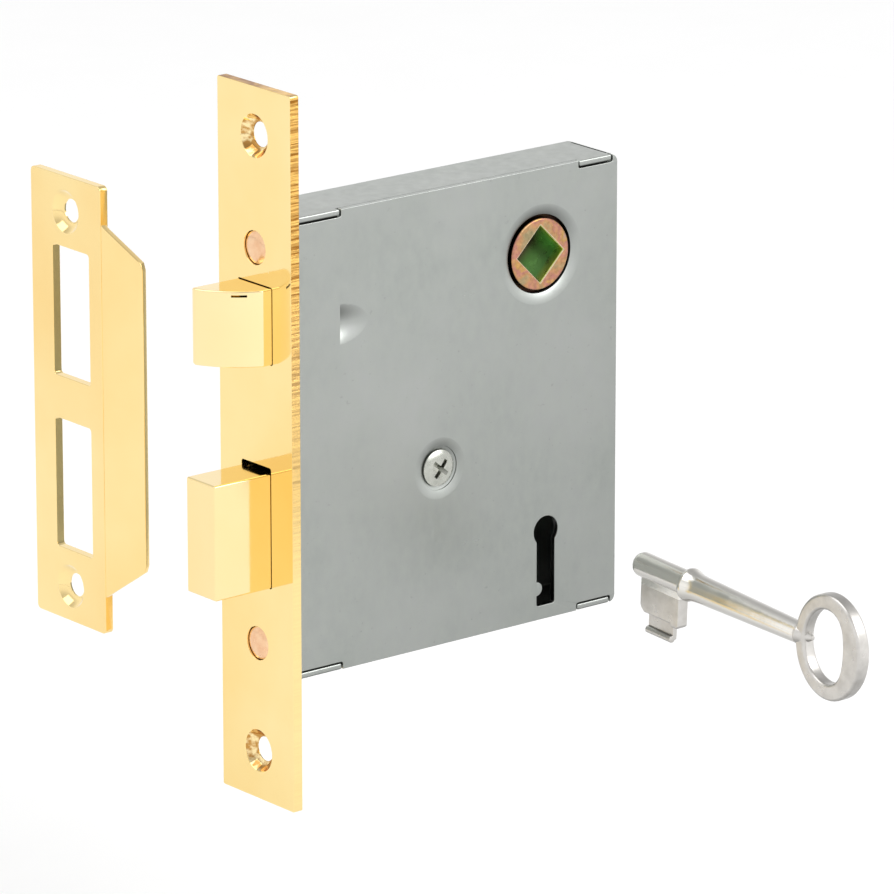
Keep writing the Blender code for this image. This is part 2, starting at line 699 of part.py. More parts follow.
def make_bolt_rivet(name, at):
    """A rivet set into the head's +Y side, blind towards the cover side."""
    high = BOLT_WIDTH / 2 - 0.2 * MM
    rivet = pin(name, 1.1 * MM, Y_AXIS, (at[0], 0, at[1]), BOLT_PIN_LOW, high, 0, 20)
    return paint(rivet, "polished_brass")


def make_stump():
    """The stump on the tail that the lever's window catches."""
    profile = [(0, BOLT_TAIL_HIGH_Y), (STUMP_R, BOLT_TAIL_HIGH_Y), (STUMP_R, -3.2 * MM)]
    profile += [(STUMP_R - 0.3 * MM, -3.5 * MM), (0, -3.5 * MM)]
    stump = turned("deadbolt_stump", profile, Y_AXIS, (STUMP_X, 0, STUMP_Z), 24)
    return paint(stump, "bright_steel")


def make_lever():
    """The lever tumbler: a pivot eye, an arm under the pillar, and a window with two pockets."""
    pivot = (LEVER_PIVOT_X, LEVER_PIVOT_Z)
    eye = 4.4 * MM
    left = STUMP_X - 4.7 * MM
    right = STUMP_X + BOLT_OUT + 4.8 * MM
    top = STUMP_Z + 6.4 * MM
    arm_top = PILLAR_Z - PILLAR_R - 1.7 * MM
    belly = -19.2 * MM
    outline = arc(pivot, eye, 70, 290, 16)
    outline += [(40 * MM, -20.4 * MM), (52 * MM, belly), (right - 3 * MM, belly)]
    outline += [(right, belly + 3 * MM), (right, top - 2 * MM), (right - 2 * MM, top)]
    outline += [(left + 1.5 * MM, top), (left, top - 1.5 * MM), (left, arm_top)]
    far = STUMP_X + BOLT_OUT
    gate = STUMP_R + 0.45 * MM
    wide = STUMP_R + 1.15 * MM
    near_pocket = 3.6 * MM
    far_pocket = 4.5 * MM
    window = [(STUMP_X - wide, STUMP_Z - near_pocket), (STUMP_X + wide, STUMP_Z - near_pocket)]
    window += [(STUMP_X + wide, STUMP_Z - gate), (far - wide, STUMP_Z - gate)]
    window += [(far - wide, STUMP_Z - far_pocket), (far + wide, STUMP_Z - far_pocket)]
    window += [(far + wide, STUMP_Z + far_pocket), (far - wide, STUMP_Z + far_pocket)]
    window += [(far - wide, STUMP_Z + gate), (STUMP_X + wide, STUMP_Z + gate)]
    window += [(STUMP_X + wide, STUMP_Z + near_pocket), (STUMP_X - wide, STUMP_Z + near_pocket)]
    loops = [outline, circle(pivot, POST_R + GAP, 28), window]
    lever = extruded("lever_tumbler", loops, "XZ", LEVER_LOW_Y, LEVER_HIGH_Y)
    return paint(lever, "bright_steel")


def make_lever_spring():
    """The lever's flat spring, which rises from the lever's eye and leans on the case front."""
    width = 2.0 * MM
    middle = (LEVER_LOW_Y + LEVER_HIGH_Y) / 2
    leaf = 0.4 * MM
    base = (LEVER_PIVOT_X - 1.5 * MM, LEVER_PIVOT_Z + 4.75 * MM)
    tip = (LEVER_PIVOT_X - 7.0 * MM, LEVER_PIVOT_Z + 21.0 * MM)
    inner = bulge(base, tip, -2.2 * MM, 12)
    outer = [(u + leaf, v) for u, v in inner]
    loop = inner + outer[::-1]
    low = middle - width / 2
    spring = extruded("lever_spring", [loop], "XZ", low, low + width)
    return paint(spring, "spring_steel")


# Loose pieces


def make_strike():
    """The strike plate: two openings, two countersunk holes and a lip on the -Y edge."""
    half = Vector((STRIKE_WIDTH / 2, STRIKE_HEIGHT / 2))
    low = (STRIKE_Y - half.x, STRIKE_Z - half.y)
    high = (STRIKE_Y + half.x, STRIKE_Z + half.y)
    loops = [rectangle(low, high, 1.0 * MM)]
    wide, tall = STRIKE_OPENING
    for offset in STRIKE_OPENING_Z:
        y = STRIKE_Y + STRIKE_OPENING_Y
        z = STRIKE_Z + offset
        corner = (y - wide / 2, z - tall / 2)
        loops.append(rectangle(corner, (y + wide / 2, z + tall / 2), 1.0 * MM))
    strike = extruded("strike_plate", loops, "YZ", STRIKE_X, STRIKE_X + STRIKE_THICK)
    root = 38.4 * MM
    edge = 31.4 * MM
    back = 1.5 * MM
    outline = [(back, root), (-LIP_WIDTH + 2 * MM, edge), (-LIP_WIDTH, edge - 2.5 * MM)]
    outline += [(-LIP_WIDTH, -edge + 2.5 * MM), (-LIP_WIDTH + 2 * MM, -edge), (back, -root)]
    lip = extruded("lip", [outline], "YZ", 0.1 * MM, 0.1 * MM + LIP_THICK)
    place = Matrix.Translation((STRIKE_X, low[0], STRIKE_Z))
    lip.matrix_world = place @ Matrix.Rotation(LIP_TILT, 4, "Z") @ lip.matrix_world
    join(strike, lip)
    for offset in (STRIKE_HOLE_Z, -STRIKE_HOLE_Z):
        sink = [(0, 1 * MM), (4.6 * MM, 1 * MM), (3.8 * MM, 0), (2.3 * MM, -1.3 * MM)]
        sink += [(2.3 * MM, -3 * MM), (0, -3 * MM)]
        at = (STRIKE_X, STRIKE_Y, STRIKE_Z + offset)
        cut(strike, turned("screw_sink", sink, -X_AXIS, at))
    return paint(strike, "strike_brass")


def make_key():
    """The bit key: a tilted shank, a collar, a stepped bit with a foot, and a ring bow."""
    at = Vector((KEY_X, KEY_TIP_Y, KEY_TIP_Z))
    collar = 14.9 * MM
    bow_reach = 18.0 * MM
    shank_end = KEY_LENGTH - bow_reach + 2.2 * MM
    profile = [(0, 0), (1.5 * MM, -0.3 * MM), (2.2 * MM, -1.0 * MM), (2.4 * MM, -2.0 * MM)]
    profile += [(2.4 * MM, -collar), (3.0 * MM, -collar), (3.3 * MM, -collar - 0.8 * MM)]
    profile += [(2.75 * MM, -collar - 2.6 * MM), (2.05 * MM, -shank_end + 2 * MM), (0, -shank_end)]
    key = turned("key", profile, Y_AXIS, at)
    tip = KEY_TIP_Y
    axis = KEY_TIP_Z
    front = tip - 2.5 * MM
    rear = front - 11.3 * MM
    blade = [(front, axis), (front, axis - 7.7 * MM), (front - 0.9 * MM, axis - 8.9 * MM)]
    blade += [(rear + 2.4 * MM, axis - 8.9 * MM), (rear + 2.4 * MM, axis - 9.5 * MM)]
    blade += [(rear, axis - 9.5 * MM), (rear, axis)]
    half = KEY_BIT_THICK / 2
    join(key, extruded("blade", [blade], "YZ", KEY_X - half, KEY_X + half))
    inner = front - 1.4 * MM
    outer = rear + 2.7 * MM
    web = rectangle((outer, axis - 12.8 * MM), (inner, axis - 8.0 * MM))
    join(key, extruded("web", [web], "YZ", KEY_X, KEY_X + half))
    foot_round = circle((KEY_X - 0.1 * MM, axis - 12.4 * MM), 0.75 * MM, 16)
    toe = extruded("foot", [foot_round], "XZ", outer, inner)
    join(key, toe)
    centre = (tip - KEY_LENGTH + bow_reach / 2, axis)
    ring = ellipse(centre, bow_reach / 2, 10.3 * MM, 48)
    bow = extruded("bow", [ring, bow_hole(centre)], "YZ", KEY_X - 1.4 * MM, KEY_X + 1.4 * MM)
    join(key, bow)
    bpy.context.view_layer.update()
    tilt = Matrix.Rotation(KEY_TILT, 4, "X")
    about_tip = Matrix.Translation(at) @ tilt @ Matrix.Translation(-at)
    joined = [modifier.object for modifier in key.modifiers if modifier.type == "BOOLEAN"]
    for piece in (key, *joined):
        piece.matrix_world = about_tip @ piece.matrix_world
    return paint(key, "nickel")


def bow_hole(centre):
    """The bow's kidney-shaped hole, whose outer side bulges inwards."""
    points = []
    for i in range(36):
        angle = 2 * math.pi * i / 36
        reach = 5.9 * MM - 1.3 * MM * max(0.0, -math.cos(angle)) ** 2
        points.append(
            (
                centre[0] + 0.5 * MM + reach * math.cos(angle),
                centre[1] + 7.2 * MM * math.sin(angle),
            )
        )
    return points


def build():
    make_faceplate()
    make_faceplate_rivet("faceplate_rivet_upper", RIVET_Z)
    make_faceplate_rivet("faceplate_rivet_lower", -RIVET_Z)
    make_case_pan()
    make_case_cover()
    make_cover_screw()
    make_screw_pillar()
    make_lever_post()
    make_spring_bracket()
    upper, lower = tang_levels()
    latch = [make_latch_head(), make_latch_tail(), make_latch_spring()]
    latch.append(make_latch_pin("latch_pin_upper", upper))
    latch.append(make_latch_pin("latch_pin_lower", lower))
    carrier("latch_slide_axis", (0, 0, LATCH_Z), latch)
    carrier("hub_axis", (HUB_X, 0, HUB_Z), [make_hub()])
    first, second = bolt_pins()
    bolt = [make_bolt_head(), make_bolt_tail(), make_stump()]
    bolt.append(make_bolt_rivet("deadbolt_rivet_upper", first))
    bolt.append(make_bolt_rivet("deadbolt_rivet_lower", second))
    carrier("deadbolt_slide_axis", (0, 0, BOLT_Z), bolt)
    at = (LEVER_PIVOT_X, 0, LEVER_PIVOT_Z)
    carrier("lever_axis", at, [make_lever(), make_lever_spring()])
    carrier("strike_axis", (STRIKE_X, STRIKE_Y, STRIKE_Z), [make_strike()])
    carrier("key_axis", (KEY_X, KEY_TIP_Y, KEY_TIP_Z), [make_key()])


build()
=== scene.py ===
"""Looks of the mortise lock, its strike plate and its key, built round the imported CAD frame.

+X runs into the door, -Y is the cover side and +Z is up. Every place comes from the CAD
nodes' boxes or from the record; the small sizes below are details of the pressed and cast
shapes.
"""

import json
import math

import bmesh
import bpy
from mathutils import Matrix, Vector


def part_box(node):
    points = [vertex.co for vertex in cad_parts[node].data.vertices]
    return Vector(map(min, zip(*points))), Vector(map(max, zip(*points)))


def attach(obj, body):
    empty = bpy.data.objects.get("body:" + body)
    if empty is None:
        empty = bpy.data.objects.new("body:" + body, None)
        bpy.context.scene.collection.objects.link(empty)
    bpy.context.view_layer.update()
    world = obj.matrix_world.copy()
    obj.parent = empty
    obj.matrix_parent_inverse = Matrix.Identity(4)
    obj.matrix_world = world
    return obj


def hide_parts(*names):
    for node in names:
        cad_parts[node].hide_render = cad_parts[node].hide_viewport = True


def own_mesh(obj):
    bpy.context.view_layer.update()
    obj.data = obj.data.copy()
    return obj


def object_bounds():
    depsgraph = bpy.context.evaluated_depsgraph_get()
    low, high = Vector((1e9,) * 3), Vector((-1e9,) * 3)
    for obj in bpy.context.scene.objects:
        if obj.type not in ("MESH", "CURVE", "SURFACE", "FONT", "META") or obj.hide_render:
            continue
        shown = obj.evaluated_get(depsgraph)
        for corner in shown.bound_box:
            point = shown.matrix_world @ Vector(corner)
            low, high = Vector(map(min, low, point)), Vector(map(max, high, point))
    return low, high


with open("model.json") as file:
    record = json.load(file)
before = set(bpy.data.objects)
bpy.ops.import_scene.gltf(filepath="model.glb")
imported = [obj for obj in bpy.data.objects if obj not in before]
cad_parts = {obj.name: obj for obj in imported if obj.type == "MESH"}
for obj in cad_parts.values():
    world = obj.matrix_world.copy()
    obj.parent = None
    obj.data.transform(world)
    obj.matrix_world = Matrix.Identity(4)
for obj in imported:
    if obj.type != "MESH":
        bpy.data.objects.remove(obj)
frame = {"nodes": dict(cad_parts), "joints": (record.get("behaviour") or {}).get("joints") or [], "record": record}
CAD_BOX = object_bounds()

MM = 0.001
GAP = 0.3 * MM
SEAM = 0.06 * MM
ROUND = 72
X_AXIS = Vector((1, 0, 0))
Y_AXIS = Vector((0, 1, 0))
Z_AXIS = Vector((0, 0, 1))
PLANES = {"XY": (X_AXIS, Y_AXIS), "XZ": (X_AXIS, Z_AXIS), "YZ": (Y_AXIS, Z_AXIS)}

MOUNTS = {mount["name"]: Vector(mount["pos_m"]) for mount in frame["record"]["mounts"]}
JOINTS = {joint["name"]: joint for joint in frame["joints"]}

scene = bpy.context.scene

SCREW_Z = MOUNTS["door_edge_fixing"].z
KEYHOLE_X = 65.0 * MM

# Where the materials change: a sheared edge, the faceplate's sinks, the key's bit and the block round the
# keyhole's cut edges where painted shade makes them nearly black
EDGE_SKIN = 0.02 * MM
SINK_START, SINK_END = 0.14 * MM, 1.9 * MM
SINK_REACH = 4.4 * MM
BIT_DROP = 3.4 * MM
KEYHOLE_SHADE_CENTRE = (KEYHOLE_X, 0, -34.5 * MM)
KEYHOLE_SHADE_HALF = (4 * MM, 6.85 * MM, 9.5 * MM)
KEYHOLE_PAINTED_SHADE = (0.02, 0.02, 0.02)


# Outlines: lists of (u, v) points in metres


def arc(centre, radius, start, end, steps):
    """Points from angle start to angle end, in degrees, both included."""
    angles = [math.radians(start + (end - start) * i / steps) for i in range(steps + 1)]
    return [(centre[0] + radius * math.cos(a), centre[1] + radius * math.sin(a)) for a in angles]


def circle(centre, radius, steps=ROUND):
    return arc(centre, radius, 0, 360, steps)[:-1]


def rectangle(low, high, radius=0.0, steps=6):
    """A rectangle from its low corner to its high one, with corners of the radius."""
    if not radius:
        return [low, (high[0], low[1]), high, (low[0], high[1])]
    points = arc((high[0] - radius, high[1] - radius), radius, 0, 90, steps)
    points += arc((low[0] + radius, high[1] - radius), radius, 90, 180, steps)
    points += arc((low[0] + radius, low[1] + radius), radius, 180, 270, steps)
    return points + arc((high[0] - radius, low[1] + radius), radius, 270, 360, steps)


def bulge(start, end, height, steps):
    """Points between start and end, both included, on an arc that bulges by the height."""
    (u0, v0), (u1, v1) = start, end
    length = math.hypot(u1 - u0, v1 - v0)
    side = ((v0 - v1) / length, (u1 - u0) / length)
    points = []
    for i in range(steps + 1):
        t = i / steps
        rise = 4 * height * t * (1 - t)
        points.append((u0 + (u1 - u0) * t + side[0] * rise, v0 + (v1 - v0) * t + side[1] * rise))
    return points


# Solids


def new_object(name, work):
    """An object from a bmesh, which is freed."""
    bmesh.ops.recalc_face_normals(work, faces=work.faces)
    mesh = bpy.data.meshes.new(name)
    work.to_mesh(mesh)
    work.free()
    obj = bpy.data.objects.new(name, mesh)
    scene.collection.objects.link(obj)
    return obj


def lofted(name, lower, upper):
    """A closed solid between two loops of 3D points that have the same count."""
    work = bmesh.new()
    rings = [[work.verts.new(point) for point in loop] for loop in (lower, upper)]
    work.faces.new(rings[0])
    work.faces.new(rings[1])
    for i in range(len(lower)):
        j = (i + 1) % len(lower)
        work.faces.new((rings[0][i], rings[0][j], rings[1][j], rings[1][i]))
    return new_object(name, work)


def extruded(name, outline, plane, low, high):
    """A prism from an outline in a plane, from low to high along the third axis."""
    u_axis, v_axis = PLANES[plane]
    along = Vector(tuple(abs(value) for value in u_axis.cross(v_axis)))
    loops = [[u_axis * u + v_axis * v + along * level for u, v in outline] for level in (low, high)]
    return lofted(name, *loops)


def turned(name, profile, axis, at, steps=ROUND):
    """A solid turned from (radius, height) points, top to bottom, about an axis through at."""
    work = bmesh.new()
    place = Matrix.Translation(at) @ Z_AXIS.rotation_difference(axis).to_matrix().to_4x4()
    rings = []
    for radius, height in profile:
        count = 1 if radius == 0 else steps
        turn = [2 * math.pi * i / steps for i in range(count)]
        ring = [Vector((radius * math.cos(a), radius * math.sin(a), height)) for a in turn]
        rings.append([work.verts.new(place @ point) for point in ring])
    for first, second in zip(rings, rings[1:]):
        for i in range(steps):
            j = (i + 1) % steps
            quad = [first[i % len(first)], first[j % len(first)]]
            quad += [second[j % len(second)], second[i % len(second)]]
            work.faces.new(dict.fromkeys(quad))
    return new_object(name, work)


def box(name, low, high):
    return extruded(name, rectangle(low[:2], high[:2]), "XY", low[2], high[2])


def settle(obj):
    """Makes the modifiers part of the mesh."""
    bpy.context.view_layer.update()
    graph = bpy.context.evaluated_depsgraph_get()
    mesh = bpy.data.meshes.new_from_object(obj.evaluated_get(graph))
    obj.modifiers.clear()
    old = obj.data
    obj.data = mesh
    bpy.data.meshes.remove(old)
    mesh.name = obj.name
    return obj


def combine(obj, helpers, operation):
    for helper in helpers:
        boolean = obj.modifiers.new(operation.lower(), "BOOLEAN")
        boolean.operation = operation
        boolean.solver = "EXACT"
        boolean.object = helper
    settle(obj)
    for helper in helpers:
        bpy.data.objects.remove(helper, do_unlink=True)
    return obj


def cut(obj, *helpers):
    return combine(obj, helpers, "DIFFERENCE")


def join(obj, *helpers):
    return combine(obj, helpers, "UNION")


def soften(obj, width, segments=3, angle=40):
    """Rounds the edges that are sharper than the angle."""
    tidy(obj)
    bevel = obj.modifiers.new("edges", "BEVEL")
    bevel.width = width
    bevel.segments = segments
    bevel.limit_method = "ANGLE"
    bevel.angle_limit = math.radians(angle)
    bevel.use_clamp_overlap = True
    return settle(obj)


def tidy(obj):
    """Merges doubled points and the flat pieces that a Boolean leaves."""
    work = bmesh.new()
    work.from_mesh(obj.data)
    bmesh.ops.remove_doubles(work, verts=work.verts, dist=2e-6)
    edges, verts = work.edges, work.verts
    bmesh.ops.dissolve_limit(work, angle_limit=math.radians(0.4), verts=verts, edges=edges)
    work.to_mesh(obj.data)
    work.free()
    return obj


def shaded(obj, angle=32):
    """Smooth shading that stays crisp on flat faces and at sharp edges."""
    work = bmesh.new()
    work.from_mesh(obj.data)
    bmesh.ops.triangulate(work, faces=[face for face in work.faces if len(face.verts) > 4])
    work.to_mesh(obj.data)
    work.free()
    obj.data.shade_smooth()
    obj.data.set_sharp_from_angle(angle=math.radians(angle))
    weighted = obj.modifiers.new("normals", "WEIGHTED_NORMAL")
    weighted.keep_sharp = True
    weighted.mode = "FACE_AREA"
    return settle(obj)


def finish_piece(obj, body, look, nodes, angle=32):
    """Shades a piece, gives it its look and puts it in the place of its CAD nodes."""
    shaded(obj, angle)
    obj.data.materials.clear()
    obj.data.materials.append(look)
    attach(obj, body)
    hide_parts(*nodes)
    return obj


def middle(node):
    low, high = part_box(node)
    return (low + high) / 2


# Materials


def add(tree, kind, settings=None, **inputs):
    """A shader node whose inputs are values or other nodes' outputs."""
    node = tree.nodes.new(kind)
    for name, value in (settings or {}).items():
        setattr(node, name, value)
    for name, value in inputs.items():
        socket = node.inputs[name.replace("_", " ")]
        if isinstance(value, bpy.types.NodeSocket):
            tree.links.new(value, socket)
        else:
            socket.default_value = value
    return node


def math_node(tree, operation, first, second=0.0):
    node = tree.nodes.new("ShaderNodeMath")
    node.operation = operation
    for socket, value in zip(node.inputs, (first, second)):
        if isinstance(value, bpy.types.NodeSocket):
            tree.links.new(value, socket)
        else:
            socket.default_value = value
    return node.outputs[0]


def remap(tree, value, low, high, to_low, to_high):
    source = {"Value": value, "From_Min": low, "From_Max": high}
    return add(tree, "ShaderNodeMapRange", **source, To_Min=to_low, To_Max=to_high).outputs[0]


def ramp(tree, value, stops):
    node = add(tree, "ShaderNodeValToRGB", Fac=value)
    elements = node.color_ramp.elements
    while len(elements) < len(stops):
        elements.new(0.5)
    for element, (position, colour) in zip(elements, stops):
        element.position = position
        element.color = (*colour, 1)
    return node.outputs[0]


def blend(tree, share, first, second, how="MIX"):
    settings = {"blend_type": how}
    values = [(*v, 1) if isinstance(v, tuple) else v for v in (first, second)]
    node = add(tree, "ShaderNodeMixRGB", settings, Fac=share, Color1=values[0], Color2=values[1])
    return node.outputs[0]


def place(tree):
    """The piece's own coordinates, in metres."""
    return add(tree, "ShaderNodeTexCoord").outputs["Object"]


def noise(tree, scale, detail=3.0, stretch=(1, 1, 1), rough=0.55):
    spot = add(tree, "ShaderNodeMapping", Vector=place(tree), Scale=stretch).outputs[0]
    inputs = {"Vector": spot, "Scale": scale, "Detail": detail, "Roughness": rough}
    return add(tree, "ShaderNodeTexNoise", **inputs).outputs["Fac"]


def bump(tree, height, depth, normal=None):
    """A bump that is depth metres from lowest to highest."""
    inputs = {"Height": height, "Distance": depth, "Strength": 1.0}
    if normal is not None:
        inputs["Normal"] = normal
    return add(tree, "ShaderNodeBump", **inputs).outputs[0]


def metal(name, colour, roughness, normal=None, metallic=1.0):
    """A metal from functions that build its colour, roughness and normal in the tree."""
    look = bpy.data.materials.new(name)
    look.use_nodes = True
    tree = look.node_tree
    shader = tree.nodes["Principled BSDF"]
    shader.inputs["Metallic"].default_value = metallic
    tree.links.new(colour(tree), shader.inputs["Base Color"])
    tree.links.new(roughness(tree), shader.inputs["Roughness"])
    if normal:
        tree.links.new(normal(tree), shader.inputs["Normal"])
    return look


def clouded(base, shift, scale, stretch=(1, 1, 1)):
    """A colour function that wanders between two colours."""

    def colour(tree):
        cloud = remap(tree, noise(tree, scale, 4.0, stretch), 0.32, 0.68, 0.0, 1.0)
        return blend(tree, cloud, base, shift)

    return colour


def rough(low, high, scale, stretch=(1, 1, 1)):
    def roughness(tree):
        return remap(tree, noise(tree, scale, 4.0, stretch), 0.3, 0.7, low, high)

    return roughness


def grain(scale, depth, stretch=(1, 1, 1)):
    def normal(tree):
        return bump(tree, noise(tree, scale, 5.0, stretch), depth)

    return normal


def polished(name, base, shift, low=0.05, high=0.10):
    """Brass plating: nearly a mirror, with a faint orange peel."""
    return metal(name, clouded(base, shift, 22), rough(low, high, 160), grain(260, 0.004 * MM))


def sheared_brass(name, base, shift, edge_y, top_z):
    """Polished brass with fine lines on its sheared edges, painted brown and orange as a painted reflection that
    is strongest at the top and fades out towards the bottom, and tool marks in its sinks.
    """

    def edge(tree):
        axes = add(tree, "ShaderNodeSeparateXYZ", Vector=place(tree)).outputs
        side = math_node(tree, "LESS_THAN", axes[1], edge_y + EDGE_SKIN)
        end = math_node(tree, "GREATER_THAN", axes[2], top_z - EDGE_SKIN)
        # Painted reflection: the edges' brown and orange fade out towards the bottom.
        painted_reflection_fade = remap(tree, axes[2], -25 * MM, 35 * MM, 0.08, 1.0)
        return math_node(tree, "MULTIPLY", math_node(tree, "MAXIMUM", side, end), painted_reflection_fade)

    def sinks(tree):
        axes = add(tree, "ShaderNodeSeparateXYZ", Vector=place(tree)).outputs
        behind_front = math_node(tree, "GREATER_THAN", axes[0], SINK_START)
        before_back = math_node(tree, "LESS_THAN", axes[0], SINK_END)
        height = math_node(tree, "SUBTRACT", math_node(tree, "ABSOLUTE", axes[2]), SCREW_Z)
        spans = [math_node(tree, "MULTIPLY", span, span) for span in (axes[1], height)]
        distance = math_node(tree, "SQRT", math_node(tree, "ADD", *spans))
        near = math_node(tree, "LESS_THAN", distance, SINK_REACH)
        between = math_node(tree, "MULTIPLY", behind_front, before_back)
        return math_node(tree, "MULTIPLY", between, near)

    def lines(tree):
        fine = noise(tree, 2100, 4.0, (0.03, 0.03, 1), 0.75)
        return remap(tree, fine, 0.40, 0.60, 0.0, 1.0)

    def colour(tree):
        plain = clouded(base, shift, 22)(tree)
        deep = blend(tree, lines(tree), (0.34, 0.14, 0.020), (0.96, 0.60, 0.17))
        chatter = remap(tree, noise(tree, 700, 3.0, (0.2, 1, 1)), 0.42, 0.58, 0.0, 1.0)
        turned_in = blend(tree, chatter, (0.52, 0.27, 0.07), (0.97, 0.78, 0.42))
        return blend(tree, edge(tree), blend(tree, sinks(tree), plain, turned_in), deep)

    def roughness(tree):
        worn = math_node(tree, "MULTIPLY", edge(tree), 0.22)
        return math_node(tree, "ADD", rough(0.05, 0.09, 160)(tree), worn)

    def normal(tree):
        height = math_node(tree, "MULTIPLY", lines(tree), edge(tree))
        return bump(tree, height, 0.06 * MM, grain(260, 0.004 * MM)(tree))

    return metal(name, colour, roughness, normal)


def nickel_key(name, axis_at, bow_y):
    """Nickel plating: polished on the round shank, satin and darker on the flat faces, with painted shade on faces
    that look down and on faces that look straight up.
    """
    painted_shade_tones = ((0.0, 0.36), (0.3, 0.60), (0.5, 0.90), (0.62, 1.0), (0.9, 0.98), (1.0, 0.60))

    def flat(tree):
        axes = add(tree, "ShaderNodeSeparateXYZ", Vector=place(tree)).outputs
        drop = math_node(tree, "MULTIPLY", math_node(tree, "SUBTRACT", axes[1], axis_at.y), -1.0)
        slope = math_node(tree, "MULTIPLY", drop, math.tan(KEY_TILT))
        rise = math_node(tree, "ADD", math_node(tree, "SUBTRACT", axes[2], axis_at.z), slope)
        bit = math_node(tree, "LESS_THAN", rise, -BIT_DROP)
        bow = math_node(tree, "LESS_THAN", axes[1], bow_y)
        return math_node(tree, "MAXIMUM", bit, bow)

    def colour(tree):
        shank = clouded((0.93, 0.91, 0.87), (0.85, 0.83, 0.78), 60)(tree)
        cast = clouded((0.72, 0.70, 0.67), (0.59, 0.57, 0.54), 420)(tree)
        tone = blend(tree, flat(tree), shank, cast)
        # Painted shade by which way a face points: darker underneath and along the top.
        return blend(tree, 1.0, tone, painted_light_by_facing(tree, painted_shade_tones, 1.0), "MULTIPLY")

    def roughness(tree):
        worn = math_node(tree, "MULTIPLY", flat(tree), 0.12)
        return math_node(tree, "ADD", rough(0.14, 0.22, 300)(tree), worn)

    def normal(tree):
        wave = bump(tree, noise(tree, 260, 3.0), 0.03 * MM)
        return bump(tree, noise(tree, 900, 4.0), 0.008 * MM, wave)

    return metal(name, colour, roughness, normal)


def painted_light_by_facing(tree, stops, gain):
    """Painted light and shade: a grey from the stops, by how far a face looks up (0 is down and 1 is up), that the
    colour is multiplied by.
    """
    normal = add(tree, "ShaderNodeNewGeometry").outputs["Normal"]
    axes = add(tree, "ShaderNodeSeparateXYZ", Vector=normal).outputs
    share = remap(tree, axes[2], -1.0, 1.0, 0.0, 1.0)
    grey = ramp(tree, share, [(position, (value, value, value)) for position, value in stops])
    return blend(tree, 1.0, grey, (gain, gain, gain), "MULTIPLY")


def zinc_sheet(name):
    """Zinc-plated sheet: satin, softly mottled, with faint streaks and fine scratches, and painted light and
    shade: lighter on faces that look up, darker on faces that look down, darker away from the faceplate and
    towards the bottom, and nearly black on the keyhole's cut walls.
    """
    stops = ((0.0, 0.34), (0.32, 0.28), (0.48, 0.60), (0.52, 0.65), (0.68, 1.0), (0.9, 0.95))

    def colour(tree):
        wide = remap(tree, noise(tree, 45, 3.0), 0.3, 0.7, 0.0, 1.0)
        tone = blend(tree, wide, (0.318, 0.338, 0.320), (0.375, 0.386, 0.375))
        streak = remap(tree, noise(tree, 420, 4.0, (1, 1, 0.6)), 0.3, 0.7, 0.0, 0.8)
        tone = blend(tree, streak, tone, (0.365, 0.383, 0.360))
        speck = remap(tree, noise(tree, 900, 2.0), 0.70, 0.78, 0.0, 0.5)
        tone = blend(tree, speck, tone, (0.27, 0.28, 0.265))
        axes = add(tree, "ShaderNodeSeparateXYZ", Vector=place(tree)).outputs
        # Painted shade: the sheet gets darker away from the faceplate and towards the bottom.
        corner = math_node(tree, "SUBTRACT", axes[0], axes[2])
        shade = remap(tree, corner, 10 * MM, 120 * MM, 1.06, 0.88)
        tone = blend(tree, 1.0, tone, shade, "MULTIPLY")
        # Painted shade: inside a box round the keyhole, its cut walls are painted nearly black.
        reach = add(tree, "ShaderNodeVectorMath", {"operation": "SUBTRACT"})
        tree.links.new(place(tree), reach.inputs[0])
        reach.inputs[1].default_value = KEYHOLE_SHADE_CENTRE
        spans = add(tree, "ShaderNodeSeparateXYZ", Vector=reach.outputs[0]).outputs
        near = [math_node(tree, "ABSOLUTE", spans[i]) for i in range(3)]
        near = [math_node(tree, "LESS_THAN", span, half) for span, half in zip(near, KEYHOLE_SHADE_HALF)]
        both = math_node(tree, "MULTIPLY", near[0], near[1])
        tone = blend(tree, math_node(tree, "MULTIPLY", both, near[2]), tone, KEYHOLE_PAINTED_SHADE)
        # Painted light and shade by which way a face points: lighter looking up, darker looking down.
        return blend(tree, 1.0, tone, painted_light_by_facing(tree, (*stops, (1.0, 0.77)), 1.6), "MULTIPLY")

    def roughness(tree):
        spots = remap(tree, noise(tree, 500, 4.0, (1, 1, 0.7)), 0.3, 0.7, 0.30, 0.42)
        return math_node(tree, "SUBTRACT", spots, scratches(tree))

    def scratches(tree):
        hair = noise(tree, 130, 2.0, (0.25, 1, 7))
        return remap(tree, hair, 0.70, 0.73, 0.0, 0.06)

    def normal(tree):
        wave = bump(tree, noise(tree, 60, 2.0), 0.10 * MM)
        return bump(tree, noise(tree, 700, 5.0, (1, 1, 0.7)), 0.014 * MM, wave)

    return metal(name, colour, roughness, normal)


